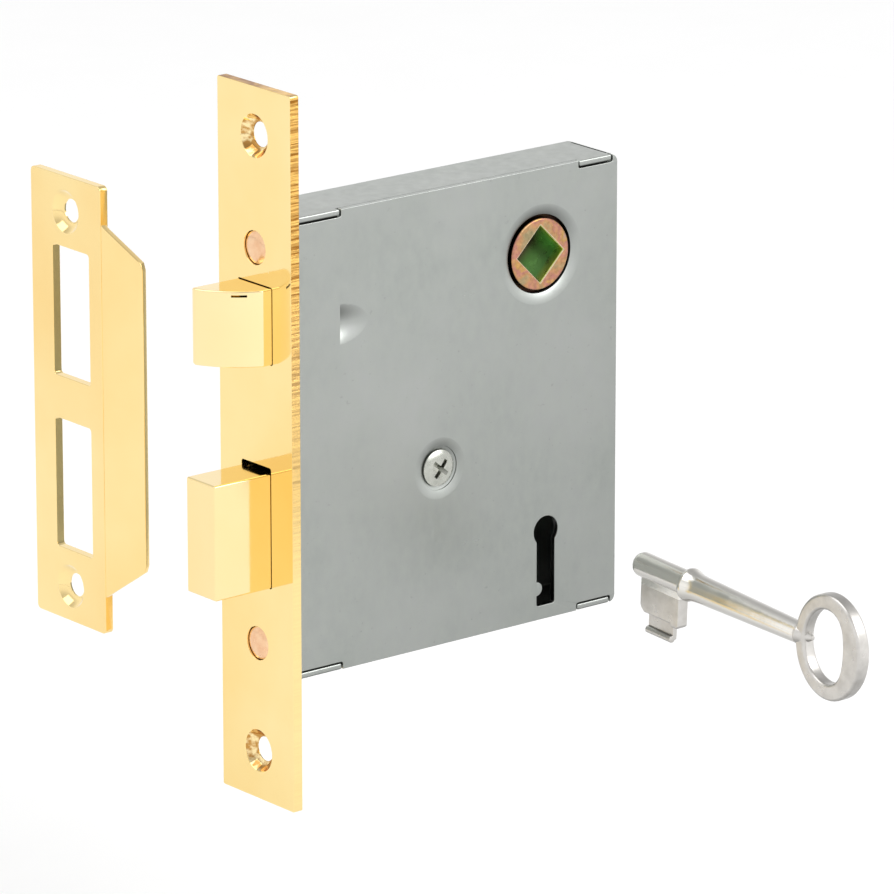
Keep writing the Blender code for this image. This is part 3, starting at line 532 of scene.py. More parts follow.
def chromate(name, axis_at, half_square):
    """Yellow chromate: clouds of tan, orange and rose, and green down the square bore, with painted shade that
    darkens the bore to near black deeper in and paints the hub's side nearly black, and a painted highlight as a
    pale band on the bore's chamfer.
    """

    def colour(tree):
        cloud = remap(tree, noise(tree, 190, 4.0), 0.28, 0.72, 0.0, 1.0)
        stops = [(0.0, (0.33, 0.30, 0.16)), (0.28, (0.52, 0.40, 0.22)), (0.5, (0.66, 0.36, 0.17))]
        stops += [(0.68, (0.62, 0.28, 0.22)), (0.85, (0.70, 0.42, 0.13)), (1.0, (0.56, 0.35, 0.33))]
        face = ramp(tree, cloud, stops)
        fine = remap(tree, noise(tree, 1300, 3.0), 0.3, 0.7, 0.75, 1.1)
        face = blend(tree, 1.0, face, fine, "MULTIPLY")
        face = blend(tree, 1.0, face, (0.80, 0.80, 0.80), "MULTIPLY")
        bore = add(tree, "ShaderNodeSeparateXYZ", Vector=place(tree)).outputs
        side = math_node(tree, "SUBTRACT", bore[0], axis_at.x)
        rise = math_node(tree, "SUBTRACT", bore[2], axis_at.z)
        spans = [math_node(tree, "ABSOLUTE", span) for span in (side, rise)]
        diamond = math_node(tree, "ADD", spans[0], spans[1])
        edge = half_square * math.sqrt(2)
        inside = remap(tree, diamond, edge + 0.02 * MM, edge + 0.12 * MM, 1.0, 0.0)
        # The bore's walls: green chromate, with painted shade that takes them to near black deeper in.
        depth = remap(tree, bore[1], -7 * MM, 5 * MM, 0.0, 1.0)
        bore_green_and_shade = [(0.0, (0.75, 0.80, 0.12)), (0.20, (0.26, 0.60, 0.16)), (0.6, (0.10, 0.24, 0.05))]
        bore_green_and_shade += [(0.8, (0.06, 0.05, 0.02)), (1.0, (0.03, 0.03, 0.02))]
        # Painted highlight: a pale band on the square bore's chamfer.
        rim = remap(tree, diamond, edge + 0.30 * MM, edge + 0.34 * MM, 0.7, 0.0)
        face = blend(tree, rim, face, (0.78, 0.72, 0.52))
        # Painted shade: the hub's side, outside about 7 mm from its axis, is painted nearly black.
        squares = [math_node(tree, "MULTIPLY", span, span) for span in (side, rise)]
        radius = math_node(tree, "SQRT", math_node(tree, "ADD", *squares))
        painted_side_shade = remap(tree, radius, 6.98 * MM, 7.06 * MM, 1.0, 0.05)
        face = blend(tree, 1.0, face, painted_side_shade, "MULTIPLY")
        return blend(tree, inside, face, ramp(tree, depth, bore_green_and_shade))

    return metal(name, colour, rough(0.24, 0.38, 700), grain(900, 0.014 * MM))


BRASS = (0.980, 0.785, 0.385)
BRASS_DEEP = (0.955, 0.700, 0.285)
BRASS_PALE = (0.975, 0.805, 0.455)
BRASS_WARM = (0.960, 0.745, 0.370)
KEY_AT = Vector((KEYHOLE_X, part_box("key")[1].y, -26.95 * MM))
KEY_TILT = math.radians(3)
KEY_LENGTH = 64.8 * MM
BOW_LENGTH = 18.0 * MM
FACE_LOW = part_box("faceplate")[0]
HUB_AT = Vector(JOINTS["hub_turn"]["pos_m"])
HUB_HALF_SQUARE = 4.0 * MM

LOOKS = {
    "faceplate": sheared_brass("brass_sheared", BRASS, BRASS_DEEP, FACE_LOW.y, -FACE_LOW.z),
    "polished_brass": polished("brass_mirror", BRASS_PALE, BRASS_WARM, 0.06, 0.13),
    "strike_brass": polished("brass_pressed", (0.96, 0.76, 0.37), (0.93, 0.66, 0.27), 0.12, 0.20),
    "copper_rivet": metal(
        "copper_rivet",
        clouded((0.93, 0.64, 0.40), (0.84, 0.50, 0.29), 400),
        rough(0.16, 0.28, 600),
        grain(900, 0.01 * MM),
    ),
    "zinc_steel": zinc_sheet("zinc_sheet"),
    "yellow_zinc": chromate("yellow_chromate", HUB_AT, HUB_HALF_SQUARE),
    "screw": metal(
        "bright_screw",
        clouded((0.52, 0.53, 0.48), (0.42, 0.43, 0.39), 500),
        rough(0.18, 0.34, 700),
        grain(1100, 0.015 * MM),
    ),
    "bright_steel": metal(
        "rolled_steel",
        clouded((0.56, 0.56, 0.55), (0.46, 0.46, 0.46), 160, (1, 1, 0.3)),
        rough(0.22, 0.36, 420, (0.2, 1, 1)),
        grain(900, 0.01 * MM, (0.1, 1, 1)),
    ),
    "spring_steel": metal(
        "spring_steel",
        clouded((0.34, 0.34, 0.36), (0.24, 0.24, 0.27), 300),
        rough(0.25, 0.42, 500),
        grain(900, 0.01 * MM),
    ),
    "nickel": nickel_key("nickel_plate", KEY_AT, KEY_AT.y - KEY_LENGTH + BOW_LENGTH),
}


# Faceplate and its rivets


BOLT_SLACK = 0.9 * MM


def opening_of(node, slack=0.0):
    """The faceplate's opening round a bolt, with slack above it."""
    low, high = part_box(node)
    room = 0.14 * MM
    corners = ((low.y - room, low.z - room), (high.y + room, high.z + room + slack))
    return rectangle(*corners, 0.5 * MM)


def bowl(outer, inner, depth, steps=10):
    """A dished seat's profile, as (radius, height) from its rim down to its hole."""
    points = []
    for i in range(steps + 1):
        t = i / steps
        points.append((outer + (inner - outer) * t, -depth * (1 - (1 - t) ** 1.8)))
    return points


def make_faceplate():
    low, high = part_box("faceplate")
    plate = extruded("plate", rectangle(low.yz, high.yz, 0.4 * MM), "YZ", low.x, high.x)
    through = (low.x - 1 * MM, high.x + 1 * MM)
    latch = extruded("way", opening_of("latch_head"), "YZ", *through)
    bolt = extruded("way", opening_of("deadbolt_head", BOLT_SLACK), "YZ", *through)
    cut(plate, latch, bolt)
    for z in (SCREW_Z, -SCREW_Z):
        sink = [(0, 1 * MM), (4.4 * MM, 1 * MM), (4.3 * MM, 0.1 * MM)]
        sink += [*bowl(4.2 * MM, 2.4 * MM, 1.7 * MM)[1:], (2.4 * MM, -3 * MM), (0, -3 * MM)]
        cut(plate, turned("sink", sink, -X_AXIS, (low.x, 0, z)))
    for node in ("faceplate_rivet_upper", "faceplate_rivet_lower"):
        seat = [(0, 1 * MM), (3.3 * MM, 1 * MM), (3.3 * MM, -0.9 * MM), (1.9 * MM, -0.9 * MM)]
        seat += [(1.9 * MM, -3 * MM), (0, -3 * MM)]
        cut(plate, turned("seat", seat, -X_AXIS, (low.x, 0, middle(node).z)))
    soften(plate, 0.12 * MM)
    plate.name = "faceplate_body"
    look = LOOKS["faceplate"]
    return finish_piece(plate, "case", look, ["faceplate"])


def make_faceplate_rivet(node):
    low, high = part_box(node)
    at = Vector((0, 0, middle(node).z))
    head = 3.12 * MM
    end = -high.x
    profile = [(0, -low.x)]
    for i in range(1, 13):
        share = i / 12
        profile.append((head * share, -low.x - 0.5 * MM * share ** 3.5))
    profile += [(head, -0.62 * MM), (1.6 * MM, -0.62 * MM), (1.6 * MM, end + 1.1 * MM)]
    profile += [(2.5 * MM, end + 1.1 * MM), (2.6 * MM, end + 0.7 * MM), (2.2 * MM, end + 0.2 * MM)]
    profile += [(1.2 * MM, end), (0, end)]
    rivet = turned(node + "_turned", profile, -X_AXIS, at)
    return finish_piece(rivet, "case", LOOKS["copper_rivet"], [node])


# Case


KEYHOLE_AT = Vector((KEYHOLE_X, 0, -27.4 * MM))
COVER_FACE = MOUNTS["case_cover_face"].y
SHEET = 1.2 * MM
NOTCH_FRONT = 15.0 * MM
NOTCH_BACK = 72.8 * MM
TAB_BACK = 81.1 * MM
DENT_SKIN = 0.03 * MM
HUB_RIM = (7.8 * MM, 2.5 * MM, 0.55 * MM)


def keyhole_outline():
    """A round hole over a slot, with a half-round ward on the slot's faceplate side."""
    u, v = KEYHOLE_AT.x, KEYHOLE_AT.z
    radius = 3.0 * MM
    half = 2.25 * MM
    bottom = v - 15.0 * MM
    start = math.degrees(math.asin(half / radius))
    points = arc((u, v), radius, 270 + start, 630 - start, 44)
    points += arc((u - half, v - 11.5 * MM), 1.4 * MM, 90, -90, 14)
    corner = 0.5 * MM
    points += arc((u - half + corner, bottom + corner), corner, 180, 270, 5)
    return points + arc((u + half - corner, bottom + corner), corner, 270, 360, 5)


def dish(hole, reach, depth, steps=12):
    """A cutter's profile for a round hole whose rim is pressed in, over the reach."""
    points = [(0, 2 * MM), (hole + reach, 2 * MM), (hole + reach, 0.015 * MM)]
    for i in range(1, steps + 1):
        t = i / steps
        points.append((hole + reach * (1 - t), 0.015 * MM - depth * t * t))
    return points + [(hole, -3 * MM), (0, -3 * MM)]


def dent_cutter(edge, z, half, depth, length):
    """A soft half bowl pressed in from the cover's face, deepest at its edge."""
    across, along = 32, 28
    work = bmesh.new()
    rows = []
    for i in range(along + 1):
        t = i / along
        width = half * math.sqrt(1.02 - t * t)
        row = []
        for j in range(across + 1):
            s = 2 * j / across - 1
            offset = s * half * 1.25
            share = min(1.0, abs(offset) / width)
            fall = math.cos(share * math.pi / 2) ** 2
            press = depth * (1 - t) ** 1.7 * fall
            spot = (edge + t * length, COVER_FACE + press - DENT_SKIN, z + offset)
            row.append(work.verts.new(spot))
        rows.append(row)
    for first, second in zip(rows, rows[1:]):
        for j in range(across):
            work.faces.new((first[j], first[j + 1], second[j + 1], second[j]))
    rim = [*rows[0]] + [row[-1] for row in rows[1:]]
    rim += rows[-1][-2::-1] + [row[0] for row in rows[-2:0:-1]]
    top = [work.verts.new((v.co.x, COVER_FACE - 3 * MM, v.co.z)) for v in rim]
    for i in range(len(rim)):
        j = (i + 1) % len(rim)
        work.faces.new((rim[i], rim[j], top[j], top[i]))
    work.faces.new(top)
    return new_object("dent", work)


def make_case_cover():
    low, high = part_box("case_cover")
    inside = COVER_FACE + SHEET
    corners = ((low.x, low.z), (high.x, high.z))
    cover = extruded("case_cover_plate", rectangle(*corners, 1.6 * MM, 8), "XZ", COVER_FACE, inside)
    through = (COVER_FACE - 1 * MM, inside + 1 * MM)
    step = high.z - SHEET - GAP
    notches = []
    for start, end in ((low.x - 1 * MM, NOTCH_FRONT), (NOTCH_BACK, TAB_BACK + GAP)):
        for side in (1, -1):
            levels = sorted((side * step, side * (high.z + 1 * MM)))
            corner = 0.5 * MM
            outline = rectangle((start, levels[0]), (end, levels[1]), corner)
            notches.append(extruded("notch", outline, "XZ", *through))
    cut(cover, *notches)
    cut(cover, extruded("keyhole", keyhole_outline(), "XZ", *through))
    soften(cover, 0.42 * MM, 4)
    hub = Vector((HUB_AT.x, COVER_FACE, HUB_AT.z))
    cut(cover, turned("hub_hole", dish(*HUB_RIM), -Y_AXIS, hub, 96))
    screw = middle("cover_screw")
    seat = dish(4.4 * MM, 2.2 * MM, 0.32 * MM)[:-2]
    seat += [(4.36 * MM, -0.52 * MM), (4.1 * MM, -0.60 * MM), (2.1 * MM, -0.95 * MM)]
    seat += [(2.1 * MM, -3 * MM), (0, -3 * MM)]
    at = Vector((screw.x, COVER_FACE, screw.z))
    cut(cover, turned("seat", seat, -Y_AXIS, at, 96))
    place_of = {"edge": 14.6 * MM, "z": 22.9 * MM}
    cut(cover, dent_cutter(**place_of, half=4.4 * MM, depth=1.1 * MM, length=7.6 * MM))
    return finish_piece(cover, "case", LOOKS["zinc_steel"], ["case_cover"])


def make_case_pan():
    low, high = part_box("case_pan")
    rim = COVER_FACE + SHEET + SEAM
    pan = folded_block(low, high, rim)
    room_low = (low.x + SHEET, rim - 1 * MM, low.z + SHEET)
    room_high = (high.x - SHEET, high.y - SHEET, high.z - SHEET)
    room = box("room", room_low, room_high)
    cut(pan, soften(room, 0.5 * MM, 3))
    tabs = []
    for left, right in ((low.x, NOTCH_FRONT - GAP), (NOTCH_BACK + GAP, TAB_BACK)):
        for side in (1, -1):
            levels = sorted((side * (high.z - SHEET), side * high.z))
            tab_low = (left, COVER_FACE, levels[0])
            tab = box("tab", tab_low, (right, rim + 2 * MM, levels[1]))
            tabs.append(soften(tab, 0.32 * MM, 3))
    join(pan, *tabs)
    front = (low.x - 1 * MM, low.x + SHEET + 1 * MM)
    ways = []
    for node, slack in (("latch_head", 0.0), ("deadbolt_head", BOLT_SLACK)):
        start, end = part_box(node)
        room = 2 * GAP
        corners = ((start.y - room, start.z - room), (end.y + room, end.z + room + slack))
        ways.append(extruded("way", rectangle(*corners, 0.6 * MM), "YZ", *front))
    for node in ("faceplate_rivet_upper", "faceplate_rivet_lower"):
        ways.append(extruded("hole", circle((0, middle(node).z), 1.9 * MM, 40), "YZ", *front))
    for side in (1, -1):
        levels = sorted((side * (high.z - 0.9 * MM), side * (high.z + 1 * MM)))
        seam_low = (high.x - 1.7 * MM, rim + 0.3 * MM, levels[0])
        ways.append(box("seam", seam_low, (high.x - 1.25 * MM, high.y - 2.2 * MM, levels[1])))
    far = (high.y - SHEET - 1 * MM, high.y + 1 * MM)
    ways.append(extruded("keyhole", keyhole_outline(), "XZ", *far))
    for node in ("screw_pillar", "lever_post", "spring_bracket"):
        at = middle(node)
        x = at.x if node != "spring_bracket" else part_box(node)[1].x - 4.75 * MM
        ways.append(extruded("end", circle((x, at.z), 1.8 * MM, 40), "XZ", *far))
    cut(pan, *ways)
    hub = Vector((HUB_AT.x, high.y, HUB_AT.z))
    cut(pan, turned("hub_hole", dish(*HUB_RIM), Y_AXIS, hub, 96))
    return finish_piece(pan, "case", LOOKS["zinc_steel"], ["case_pan"])


def folded_block(low, high, rim):
    """A block from the rim level back, whose far edges have the fold's radius."""
    fold = 1.1 * MM
    loops = []
    for level, inset in fold_levels(rim, high.y, fold):
        corners = ((low.x + inset, low.z + inset), (high.x - inset, high.z - inset))
        outline = rectangle(*corners, 1.3 * MM - inset * 0.6, 6)
        loops.append([Vector((u, level, v)) for u, v in outline])
    work = bmesh.new()
    rings = [[work.verts.new(point) for point in loop] for loop in loops]
    work.faces.new(rings[0])
    work.faces.new(rings[-1])
    for first, second in zip(rings, rings[1:]):
        for i in range(len(first)):
            j = (i + 1) % len(first)
            work.faces.new((first[i], first[j], second[j], second[i]))
    return new_object("case_pan_pressing", work)


def fold_levels(rim, back, fold):
    """(level, inset) pairs down a wall and round its fold."""
    pairs = [(rim, 0.0)]
    for i in range(7):
        angle = math.radians(90 * i / 6)
        pairs.append((back - fold + fold * math.sin(angle), fold * (1 - math.cos(angle))))
    return pairs


SCREW_TURN = math.radians(39)


def make_cover_screw():
    """A domed cross-recessed screw, set at a slant as it was driven."""
    low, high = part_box("cover_screw")
    at = Vector((middle("cover_screw").x, COVER_FACE, middle("cover_screw").z))
    top = (COVER_FACE - low.y) / 2
    end = COVER_FACE - high.y
    head = 3.6 * MM
    profile = [(0, top)]
    for i in range(1, 15):
        share = i / 14
        profile.append((head * share, top - 0.75 * MM * share ** 3))
    profile += [(head, -0.50 * MM), (1.7 * MM, -0.8 * MM), (1.7 * MM, end + 0.5 * MM)]
    profile += [(1.3 * MM, end), (0, end)]
    screw = turned("cover_screw_turned", profile, -Y_AXIS, at)
    slant = Matrix.Rotation(SCREW_TURN, 4, "Y")
    for quarter in (0, 90):
        spin = Matrix.Translation(at) @ slant @ Matrix.Rotation(math.radians(quarter), 4, "Y")
        loops = []
        for level, long, wide in ((2 * MM, 3.3 * MM, 0.52 * MM), (-1.4 * MM, 0.8 * MM, 0.30 * MM)):
            corners = rectangle((-long, -wide), (long, wide))
            loops.append([spin @ Vector((u, -level, v)) for u, v in corners])
        cut(screw, lofted("recess", *loops))
    return finish_piece(screw, "case", LOOKS["screw"], ["cover_screw"])


# Hub, latch and deadbolt


LATCH_TRAVEL = JOINTS["latch_retract"]["range_m"][1]
LOBE_CENTRE = 11.0 * MM
LOBE_TIP = 2.0 * MM
COLLAR_RADIUS, BARREL_RADIUS = 7.1 * MM, 8.9 * MM


def make_hub():
    """The follower: its barrel, collars and lobes, with the square bore set on its corner."""
    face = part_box("hub")[1].y
    barrel = face - 1.55 * MM
    collar = COLLAR_RADIUS
    wide = BARREL_RADIUS
    profile = [(0, face), (collar - 0.45 * MM, face), (collar - 0.2 * MM, face - 0.08 * MM)]
    profile += [(collar - 0.05 * MM, face - 0.25 * MM), (collar, face - 0.45 * MM)]
    profile += [(collar, barrel), (wide, barrel)]
    profile += [(radius, -height) for radius, height in profile[::-1]]
    hub = turned("hub_turned", profile, Y_AXIS, HUB_AT)
    lean = math.degrees(math.asin(LATCH_TRAVEL / 2 / LOBE_CENTRE))
    for upright in (90 + lean, 270 - lean):
        tip = arc((LOBE_CENTRE, 0), LOBE_TIP, -90, 90, 16)
        turn = math.radians(upright)
        placed = []
        for u, v in [(4 * MM, LOBE_TIP), (4 * MM, -LOBE_TIP), *tip[1:-1]]:
            x = HUB_AT.x + u * math.cos(turn) - v * math.sin(turn)
            placed.append((x, HUB_AT.z + u * math.sin(turn) + v * math.cos(turn)))
        lobe = extruded("lobe", placed, "XZ", -4.4 * MM, -0.4 * MM)
        join(hub, soften(lobe, 0.2 * MM, 2))
    half = HUB_HALF_SQUARE * math.sqrt(2)
    corners = [(half, 0), (0, half), (-half, 0), (0, -half)]
    diamond = [(HUB_AT.x + u, HUB_AT.z + v) for u, v in corners]
    cut(hub, extruded("square", diamond, "XZ", -face - 1 * MM, face + 1 * MM))
    for side in (1, -1):
        loops = []
        for level, grow in ((face + 0.2 * MM, 0.4 * MM), (face - 0.2 * MM, 0.0)):
            share = (half + grow) / half
            points = [(HUB_AT.x + u * share, HUB_AT.z + v * share) for u, v in corners]
            loops.append([Vector((u, side * level, v)) for u, v in points])
        cut(hub, lofted("bore_edge", *loops))
    return finish_piece(hub, "hub", LOOKS["yellow_zinc"], ["hub"])


def make_latch_head():
    """The latch's head: flat on +Y and swept back to the strike on -Y."""
    low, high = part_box("latch_head")
    side = high.y
    sweep = bulge((-1.8 * MM, -side), (low.x, side - 1.1 * MM), 1.3 * MM, 36)
    outline = [(high.x, side), (high.x, -side), *sweep, (low.x + 0.3 * MM, side)]
    head = extruded("latch_head_cast", outline, "XY", low.z, high.z)
    soften(head, 0.34 * MM, 4, 25)
    slots = []
    for edge, inner in ((high.z + 1 * MM, high.z - 3.4 * MM), (low.z - 1 * MM, low.z + 3.4 * MM)):
        levels = sorted((edge, inner))
        slot_low = (1.0 * MM, 0.1 * MM, levels[0])
        slots.append(box("tang_slot", slot_low, (high.x + 1 * MM, 3.2 * MM, levels[1])))
    seam_low = (-7.0 * MM, -side - 1 * MM, high.z - 1.15 * MM)
    seam_high = (-4.6 * MM, -side + 5.2 * MM, high.z - 0.72 * MM)
    slots.append(box("cast_slit", seam_low, seam_high))
    cut(head, *slots)
    nodes = ["latch_head", "latch_pin_upper", "latch_pin_lower"]
    return finish_piece(head, "latch", LOOKS["polished_brass"], nodes)


def make_bolt_head():
    low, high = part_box("deadbolt_head")
    head = box("deadbolt_head_cast", low, high)
    soften(head, 0.4 * MM, 4)
    slot_low = (0.8 * MM, 0.5 * MM, -17.8 * MM)
    cut(head, box("tongue_slot", slot_low, (high.x + 1 * MM, 3.6 * MM, -7.2 * MM)))
    nodes = ["deadbolt_head", "deadbolt_rivet_upper", "deadbolt_rivet_lower"]
    return finish_piece(head, "deadbolt", LOOKS["polished_brass"], nodes)


def make_latch_spring():
    """The coil spring, with its end turns closed up."""
    low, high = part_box("latch_spring")
    wire = 0.45 * MM
    centre = (low + high) / 2
    radius = (high.y - low.y) / 2 - wire
    turns, each, sides = 10, 28, 12
    start, end = low.x + wire, high.x - wire
    work = bmesh.new()
    rings = []
    for i in range(turns * each + 1):
        t = i / (turns * each)
        share = t - 0.075 * math.sin(2 * math.pi * t)
        angle = 2 * math.pi * turns * t
        out = Vector((0, math.cos(angle), math.sin(angle)))
        spot = Vector((start + (end - start) * share, centre.y, centre.z)) + out * radius
        round_wire = [2 * math.pi * k / sides for k in range(sides)]
        ring = [spot + (out * math.cos(a) + X_AXIS * math.sin(a)) * wire for a in round_wire]
        rings.append([work.verts.new(point) for point in ring])
    work.faces.new(rings[0])
    work.faces.new(rings[-1])
    for first, second in zip(rings, rings[1:]):
        for k in range(sides):
            j = (k + 1) % sides
            work.faces.new((first[k], first[j], second[j], second[k]))
    spring = new_object("latch_spring_coil", work)
    look = LOOKS["spring_steel"]
    finish_piece(spring, "latch", look, ["latch_spring"], 60)
    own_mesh(spring)
    return spring


# Strike plate and key


def bent(outline, low, high, bends):
    """A flat sheet in YZ, cut across at the bends' levels so that it can be curved."""
    sheet = extruded("lip", outline, "YZ", low, high)
    work = bmesh.new()
    work.from_mesh(sheet.data)
    for level in bends:
        geometry = work.verts[:] + work.edges[:] + work.faces[:]
        bmesh.ops.bisect_plane(work, geom=geometry, plane_co=(0, level, 0), plane_no=(0, 1, 0))
    work.to_mesh(sheet.data)
    work.free()
    return sheet


LIP_TILT = math.radians(20.5)
BEND_START = 1.6 * MM
BEND_RADIUS = 8.0 * MM
STRIKE_THICK = 1.8 * MM
STRIKE_HALF_WIDTH = 11.1 * MM
WAY_HEIGHTS = (17.3 * MM, -17.0 * MM)
WAY_SIDE = 1.4 * MM
WAY_HALF = (5.8 * MM, 12.9 * MM)
LIP_ROOT_HALF, LIP_EDGE_HALF = 38.4 * MM, 31.4 * MM
LIP_BACK = 2.2 * MM
STRIKE_SCREW_Z = 37.2 * MM


def lip_outline(reach):
    """The lip before it is bent, from its root to its edge at -reach, symmetric in height."""
    upper = [(LIP_BACK, LIP_ROOT_HALF), (-reach + 1.6 * MM, LIP_EDGE_HALF)]
    upper += [(-reach + 0.4 * MM, LIP_EDGE_HALF - 0.9 * MM), (-reach, LIP_EDGE_HALF - 2.3 * MM)]
    return upper + [(u, -v) for u, v in reversed(upper)]


def make_strike():
    """The strike: two openings, two dished screw holes and a lip that is bent back."""
    at = MOUNTS["strike_plate_face"]
    low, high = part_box("strike_plate")
    root = at.y - STRIKE_HALF_WIDTH
    edge_reach = (root - low.y) / math.cos(LIP_TILT) - 0.1 * MM
    corners = ((root, low.z), (high.y, high.z))
    plate = extruded("plate", rectangle(*corners, 1.0 * MM, 8), "YZ", at.x, at.x + STRIKE_THICK)
    openings = []
    for offset in WAY_HEIGHTS:
        y = at.y - WAY_SIDE
        z = at.z + offset
        wide, tall = WAY_HALF
        outline = rectangle((y - wide, z - tall), (y + wide, z + tall), 0.7 * MM)
        openings.append(extruded("way", outline, "YZ", at.x - 1 * MM, at.x + 3 * MM))
    cut(plate, *openings)
    soften(plate, 0.3 * MM, 4)
    lip_low, lip_high = 0.02 * MM, 1.38 * MM
    bends = [LIP_BACK - i * 0.4 * MM for i in range(1, 14)]
    lip = bent(lip_outline(edge_reach), lip_low, lip_high, bends)
    for vertex in lip.data.vertices:
        vertex.co = bend_point(vertex.co.x, vertex.co.y, vertex.co.z, at, root)
    soften(lip, 0.22 * MM, 3)
    join(plate, lip)
    for offset in (STRIKE_SCREW_Z, -STRIKE_SCREW_Z):
        sink = [(0, 1 * MM), (5.0 * MM, 1 * MM), (5.0 * MM, 0.01 * MM), (4.6 * MM, -0.06 * MM)]
        sink += bowl(4.2 * MM, 2.3 * MM, 1.5 * MM)
        sink += [(2.3 * MM, -3 * MM), (0, -3 * MM)]
        spot = Vector((at.x, at.y, at.z + offset))
        cut(plate, turned("sink", sink, -X_AXIS, spot))
    plate.name = "strike_plate_pressing"
    look = LOOKS["strike_brass"]
    plate.visible_glossy = False
    return finish_piece(plate, "strike", look, ["strike_plate"])


def bend_point(depth, y, z, at, root):
    """Carries a flat lip point round the bend: y is measured from the plate's edge."""
    along = BEND_START - y
    length = BEND_RADIUS * LIP_TILT
    if along <= 0:
        return Vector((at.x + depth, root + y, at.z + z))
    angle = min(along / BEND_RADIUS, LIP_TILT)
    radius = BEND_RADIUS - depth
    out = radius * math.sin(angle)
    back = BEND_RADIUS - radius * math.cos(angle)
    rest = max(0.0, along - length)
    out += rest * math.cos(angle)
    back += rest * math.sin(angle)
    return Vector((at.x + back, root + BEND_START - out, at.z + z))


def make_key():
    """The key: nosed shank, collar, stepped bit with its rolled foot, and ring bow."""
    at = KEY_AT
    collar = 14.9 * MM
    shank = 2.4 * MM
    profile = [(0, 0)]
    for i in range(1, 11):
        angle = math.radians(9 * i)
        profile.append((shank * math.sin(angle), -1.9 * MM * (1 - math.cos(angle))))
    profile += [(shank, -collar + 0.5 * MM), (shank - 0.35 * MM, -collar + 0.35 * MM)]
    profile += [(shank - 0.35 * MM, -collar)]
    profile += [(2.95 * MM, -collar - 0.02 * MM), (3.18 * MM, -collar - 0.2 * MM)]
    profile += [(3.28 * MM, -collar - 0.6 * MM), (3.22 * MM, -collar - 1.1 * MM)]
    profile += [(2.98 * MM, -collar - 1.7 * MM), (2.78 * MM, -collar - 2.6 * MM)]
    profile += [(2.66 * MM, -collar - 4 * MM)]
    root = KEY_LENGTH - BOW_LENGTH + 0.4 * MM
    profile += [(2.08 * MM, -root), (1.95 * MM, -root - 0.25 * MM)]
    profile += [(1.75 * MM, -root - 0.9 * MM), (0.45 * MM, -root - 3.2 * MM)]
    profile += [(0, -root - 3.35 * MM)]
    key = turned("key_cast", profile, Y_AXIS, at)
    join(key, *bit_pieces(at), bow_ring(at))
    about_tip = Matrix.Translation(at) @ Matrix.Rotation(KEY_TILT, 4, "X")
    key.data.transform(about_tip @ Matrix.Translation(-at))
    look = LOOKS["nickel"]
    return finish_piece(key, "key", look, ["key"], 38)


def bit_pieces(at):
    """The bit's blade, its web and its foot."""
    front = at.y - 2.5 * MM
    rear = front - 11.3 * MM
    half = 1.2 * MM
    z = at.z
    blade = [(front, z), (front, z - 7.5 * MM), (front - 0.35 * MM, z - 8.2 * MM)]
    blade += [(front - 1.2 * MM, z - 8.9 * MM), (rear + 2.5 * MM, z - 8.9 * MM)]
    blade += [(rear + 2.3 * MM, z - 9.5 * MM), (rear + 0.5 * MM, z - 9.5 * MM)]
    blade += [(rear, z - 9.0 * MM), (rear, z)]
    body = extruded("blade", blade, "YZ", at.x - half, at.x + half)
    soften(body, 0.32 * MM, 3)
    inner = front - 1.4 * MM
    outer = rear + 2.7 * MM
    corners = ((outer, z - 12.7 * MM), (inner, z - 8.0 * MM))
    web = extruded("web", rectangle(*corners, 0.3 * MM, 3), "YZ", at.x, at.x + half - 0.15 * MM)
    roll = (at.x - 0.1 * MM, z - 12.4 * MM)
    foot = extruded("foot", circle(roll, 0.72 * MM, 28), "XZ", outer, inner)
    return body, soften(web, 0.15 * MM, 2), soften(foot, 0.15 * MM, 2)


def bow_ring(at):
    """The bow: an upright ring whose outer side is wide, with rounded edges."""
    half = BOW_LENGTH / 2
    centre = (at.y - KEY_LENGTH + half, at.z)
    outer, inner = [], []
    for i in range(96):
        angle = 2 * math.pi * i / 96
        c, s = math.cos(angle), math.sin(angle)
        outer.append((centre[0] + half * c, centre[1] + 10.3 * MM * s))
        reach = 5.9 * MM - 1.3 * MM * max(0.0, -c) ** 2
        inner.append((centre[0] + 0.5 * MM + reach * c, centre[1] + 7.2 * MM * s))
    thick = 1.4 * MM
    ring = extruded("bow", outer, "YZ", at.x - thick, at.x + thick)
    cut(ring, extruded("hole", inner, "YZ", at.x - 4 * MM, at.x + 4 * MM))
    return soften(ring, 0.6 * MM, 5, 50)


# Inner pieces keep their CAD shape


def paint_nodes():
    """Gives the steel pieces inside the case their finish."""
    steel = ["screw_pillar", "lever_post", "spring_bracket", "latch_tail", "deadbolt_tail"]
    steel += ["deadbolt_stump", "lever_tumbler"]
    for names, look in ((steel, "bright_steel"), (["lever_spring"], "spring_steel")):
        for name in names:
            node = frame["nodes"][name]
            node.data.materials.clear()
            node.data.materials.append(LOOKS[look])
            for polygon in node.data.polygons:
                polygon.material_index = 0


# Studio


def make_floor():
    work = bmesh.new()
    bmesh.ops.create_circle(work, cap_ends=True, segments=96, radius=9.0)
    floor = new_object("studio_floor", work)
    floor.location = (0, 0, CAD_BOX[0].z - 50 * MM)
    look = bpy.data.materials.new("studio_paper")
    look.use_nodes = True
    tree = look.node_tree
    shader = tree.nodes["Principled BSDF"]
    shade = blend(tree, noise(tree, 40, 3.0), (0.93, 0.93, 0.93), (0.95, 0.95, 0.95))
    tree.links.new(shade, shader.inputs["Base Color"])
    shader.inputs["Roughness"].default_value = 0.9
    shader.inputs["Specular IOR Level"].default_value = 0.0
    floor.data.materials.append(look)


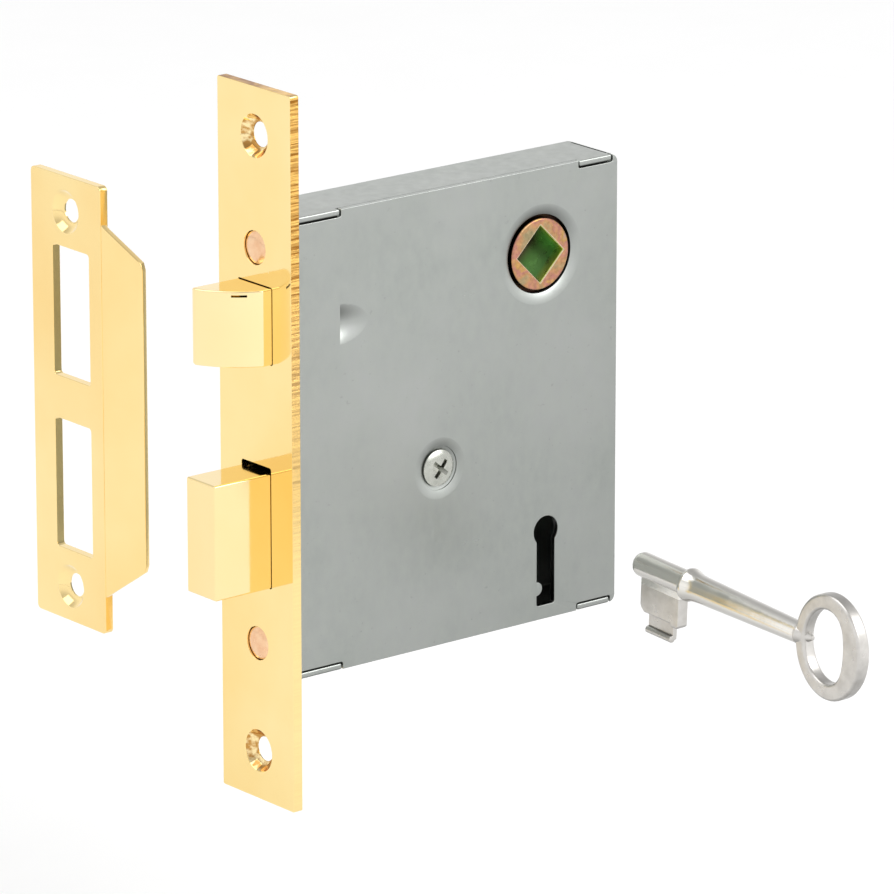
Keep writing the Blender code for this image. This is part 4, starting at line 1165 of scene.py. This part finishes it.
def make_world():
    """An even white surround that is darker overhead."""
    world = bpy.data.worlds.new("studio")
    scene.world = world
    world.use_nodes = True
    tree = world.node_tree
    background = tree.nodes["Background"]
    direction = add(tree, "ShaderNodeTexCoord").outputs["Generated"]
    axes = add(tree, "ShaderNodeSeparateXYZ", Vector=direction).outputs
    height = remap(tree, axes[2], -0.2, 1.0, 0.0, 1.0)
    stops = [(0.0, (0.95, 0.95, 0.95)), (0.17, (0.95, 0.95, 0.95)), (0.45, (0.86, 0.86, 0.86))]
    stops += [(0.72, (0.60, 0.60, 0.60)), (1.0, (0.45, 0.45, 0.45))]
    tree.links.new(ramp(tree, height, stops), background.inputs["Color"])
    background.inputs["Strength"].default_value = 1.16


def add_light(name, direction, distance, size, power):
    light = bpy.data.lights.new(name, "AREA")
    light.shape = "RECTANGLE"
    light.size, light.size_y = size
    light.energy = power
    obj = bpy.data.objects.new(name, light)
    scene.collection.objects.link(obj)
    aim = Vector(direction).normalized()
    obj.location = aim * distance
    obj.rotation_mode = "QUATERNION"
    obj.rotation_quaternion = (-aim).to_track_quat("-Z", "Y")
    obj.visible_camera = False
    return obj


CAMERA_AZIMUTH, CAMERA_ELEVATION = math.radians(-38.93), math.radians(16.56)
CAMERA_AT = (-0.8057, -1.0546, 0.3945)
CAMERA_LENS = 296.4


def make_camera():
    azimuth, elevation = CAMERA_AZIMUTH, CAMERA_ELEVATION
    flat = math.cos(elevation)
    back = Vector((math.sin(azimuth) * flat, -math.cos(azimuth) * flat, math.sin(elevation)))
    camera = bpy.data.cameras.new("camera")
    camera.lens = CAMERA_LENS
    camera.sensor_width = 36.0
    camera.clip_start = 0.05
    camera.clip_end = 60.0
    obj = bpy.data.objects.new("camera", camera)
    scene.collection.objects.link(obj)
    obj.location = CAMERA_AT
    obj.rotation_mode = "QUATERNION"
    obj.rotation_quaternion = (-back).to_track_quat("-Z", "Y")
    scene.camera = obj


make_faceplate()
make_faceplate_rivet("faceplate_rivet_upper")
make_faceplate_rivet("faceplate_rivet_lower")
make_case_cover()
make_case_pan()
make_cover_screw()
make_hub()
make_latch_head()
make_bolt_head()
make_latch_spring()
make_strike()
make_key()
paint_nodes()
make_floor()
make_world()
add_light("key_light", (0.35, -0.80, 0.62), 2.4, (2.2, 1.3), 28)
add_light("top_light", (-0.5, 0.2, 1.0), 2.6, (2.2, 2.2), 21)
make_camera()
scene.view_settings.view_transform = "Standard"
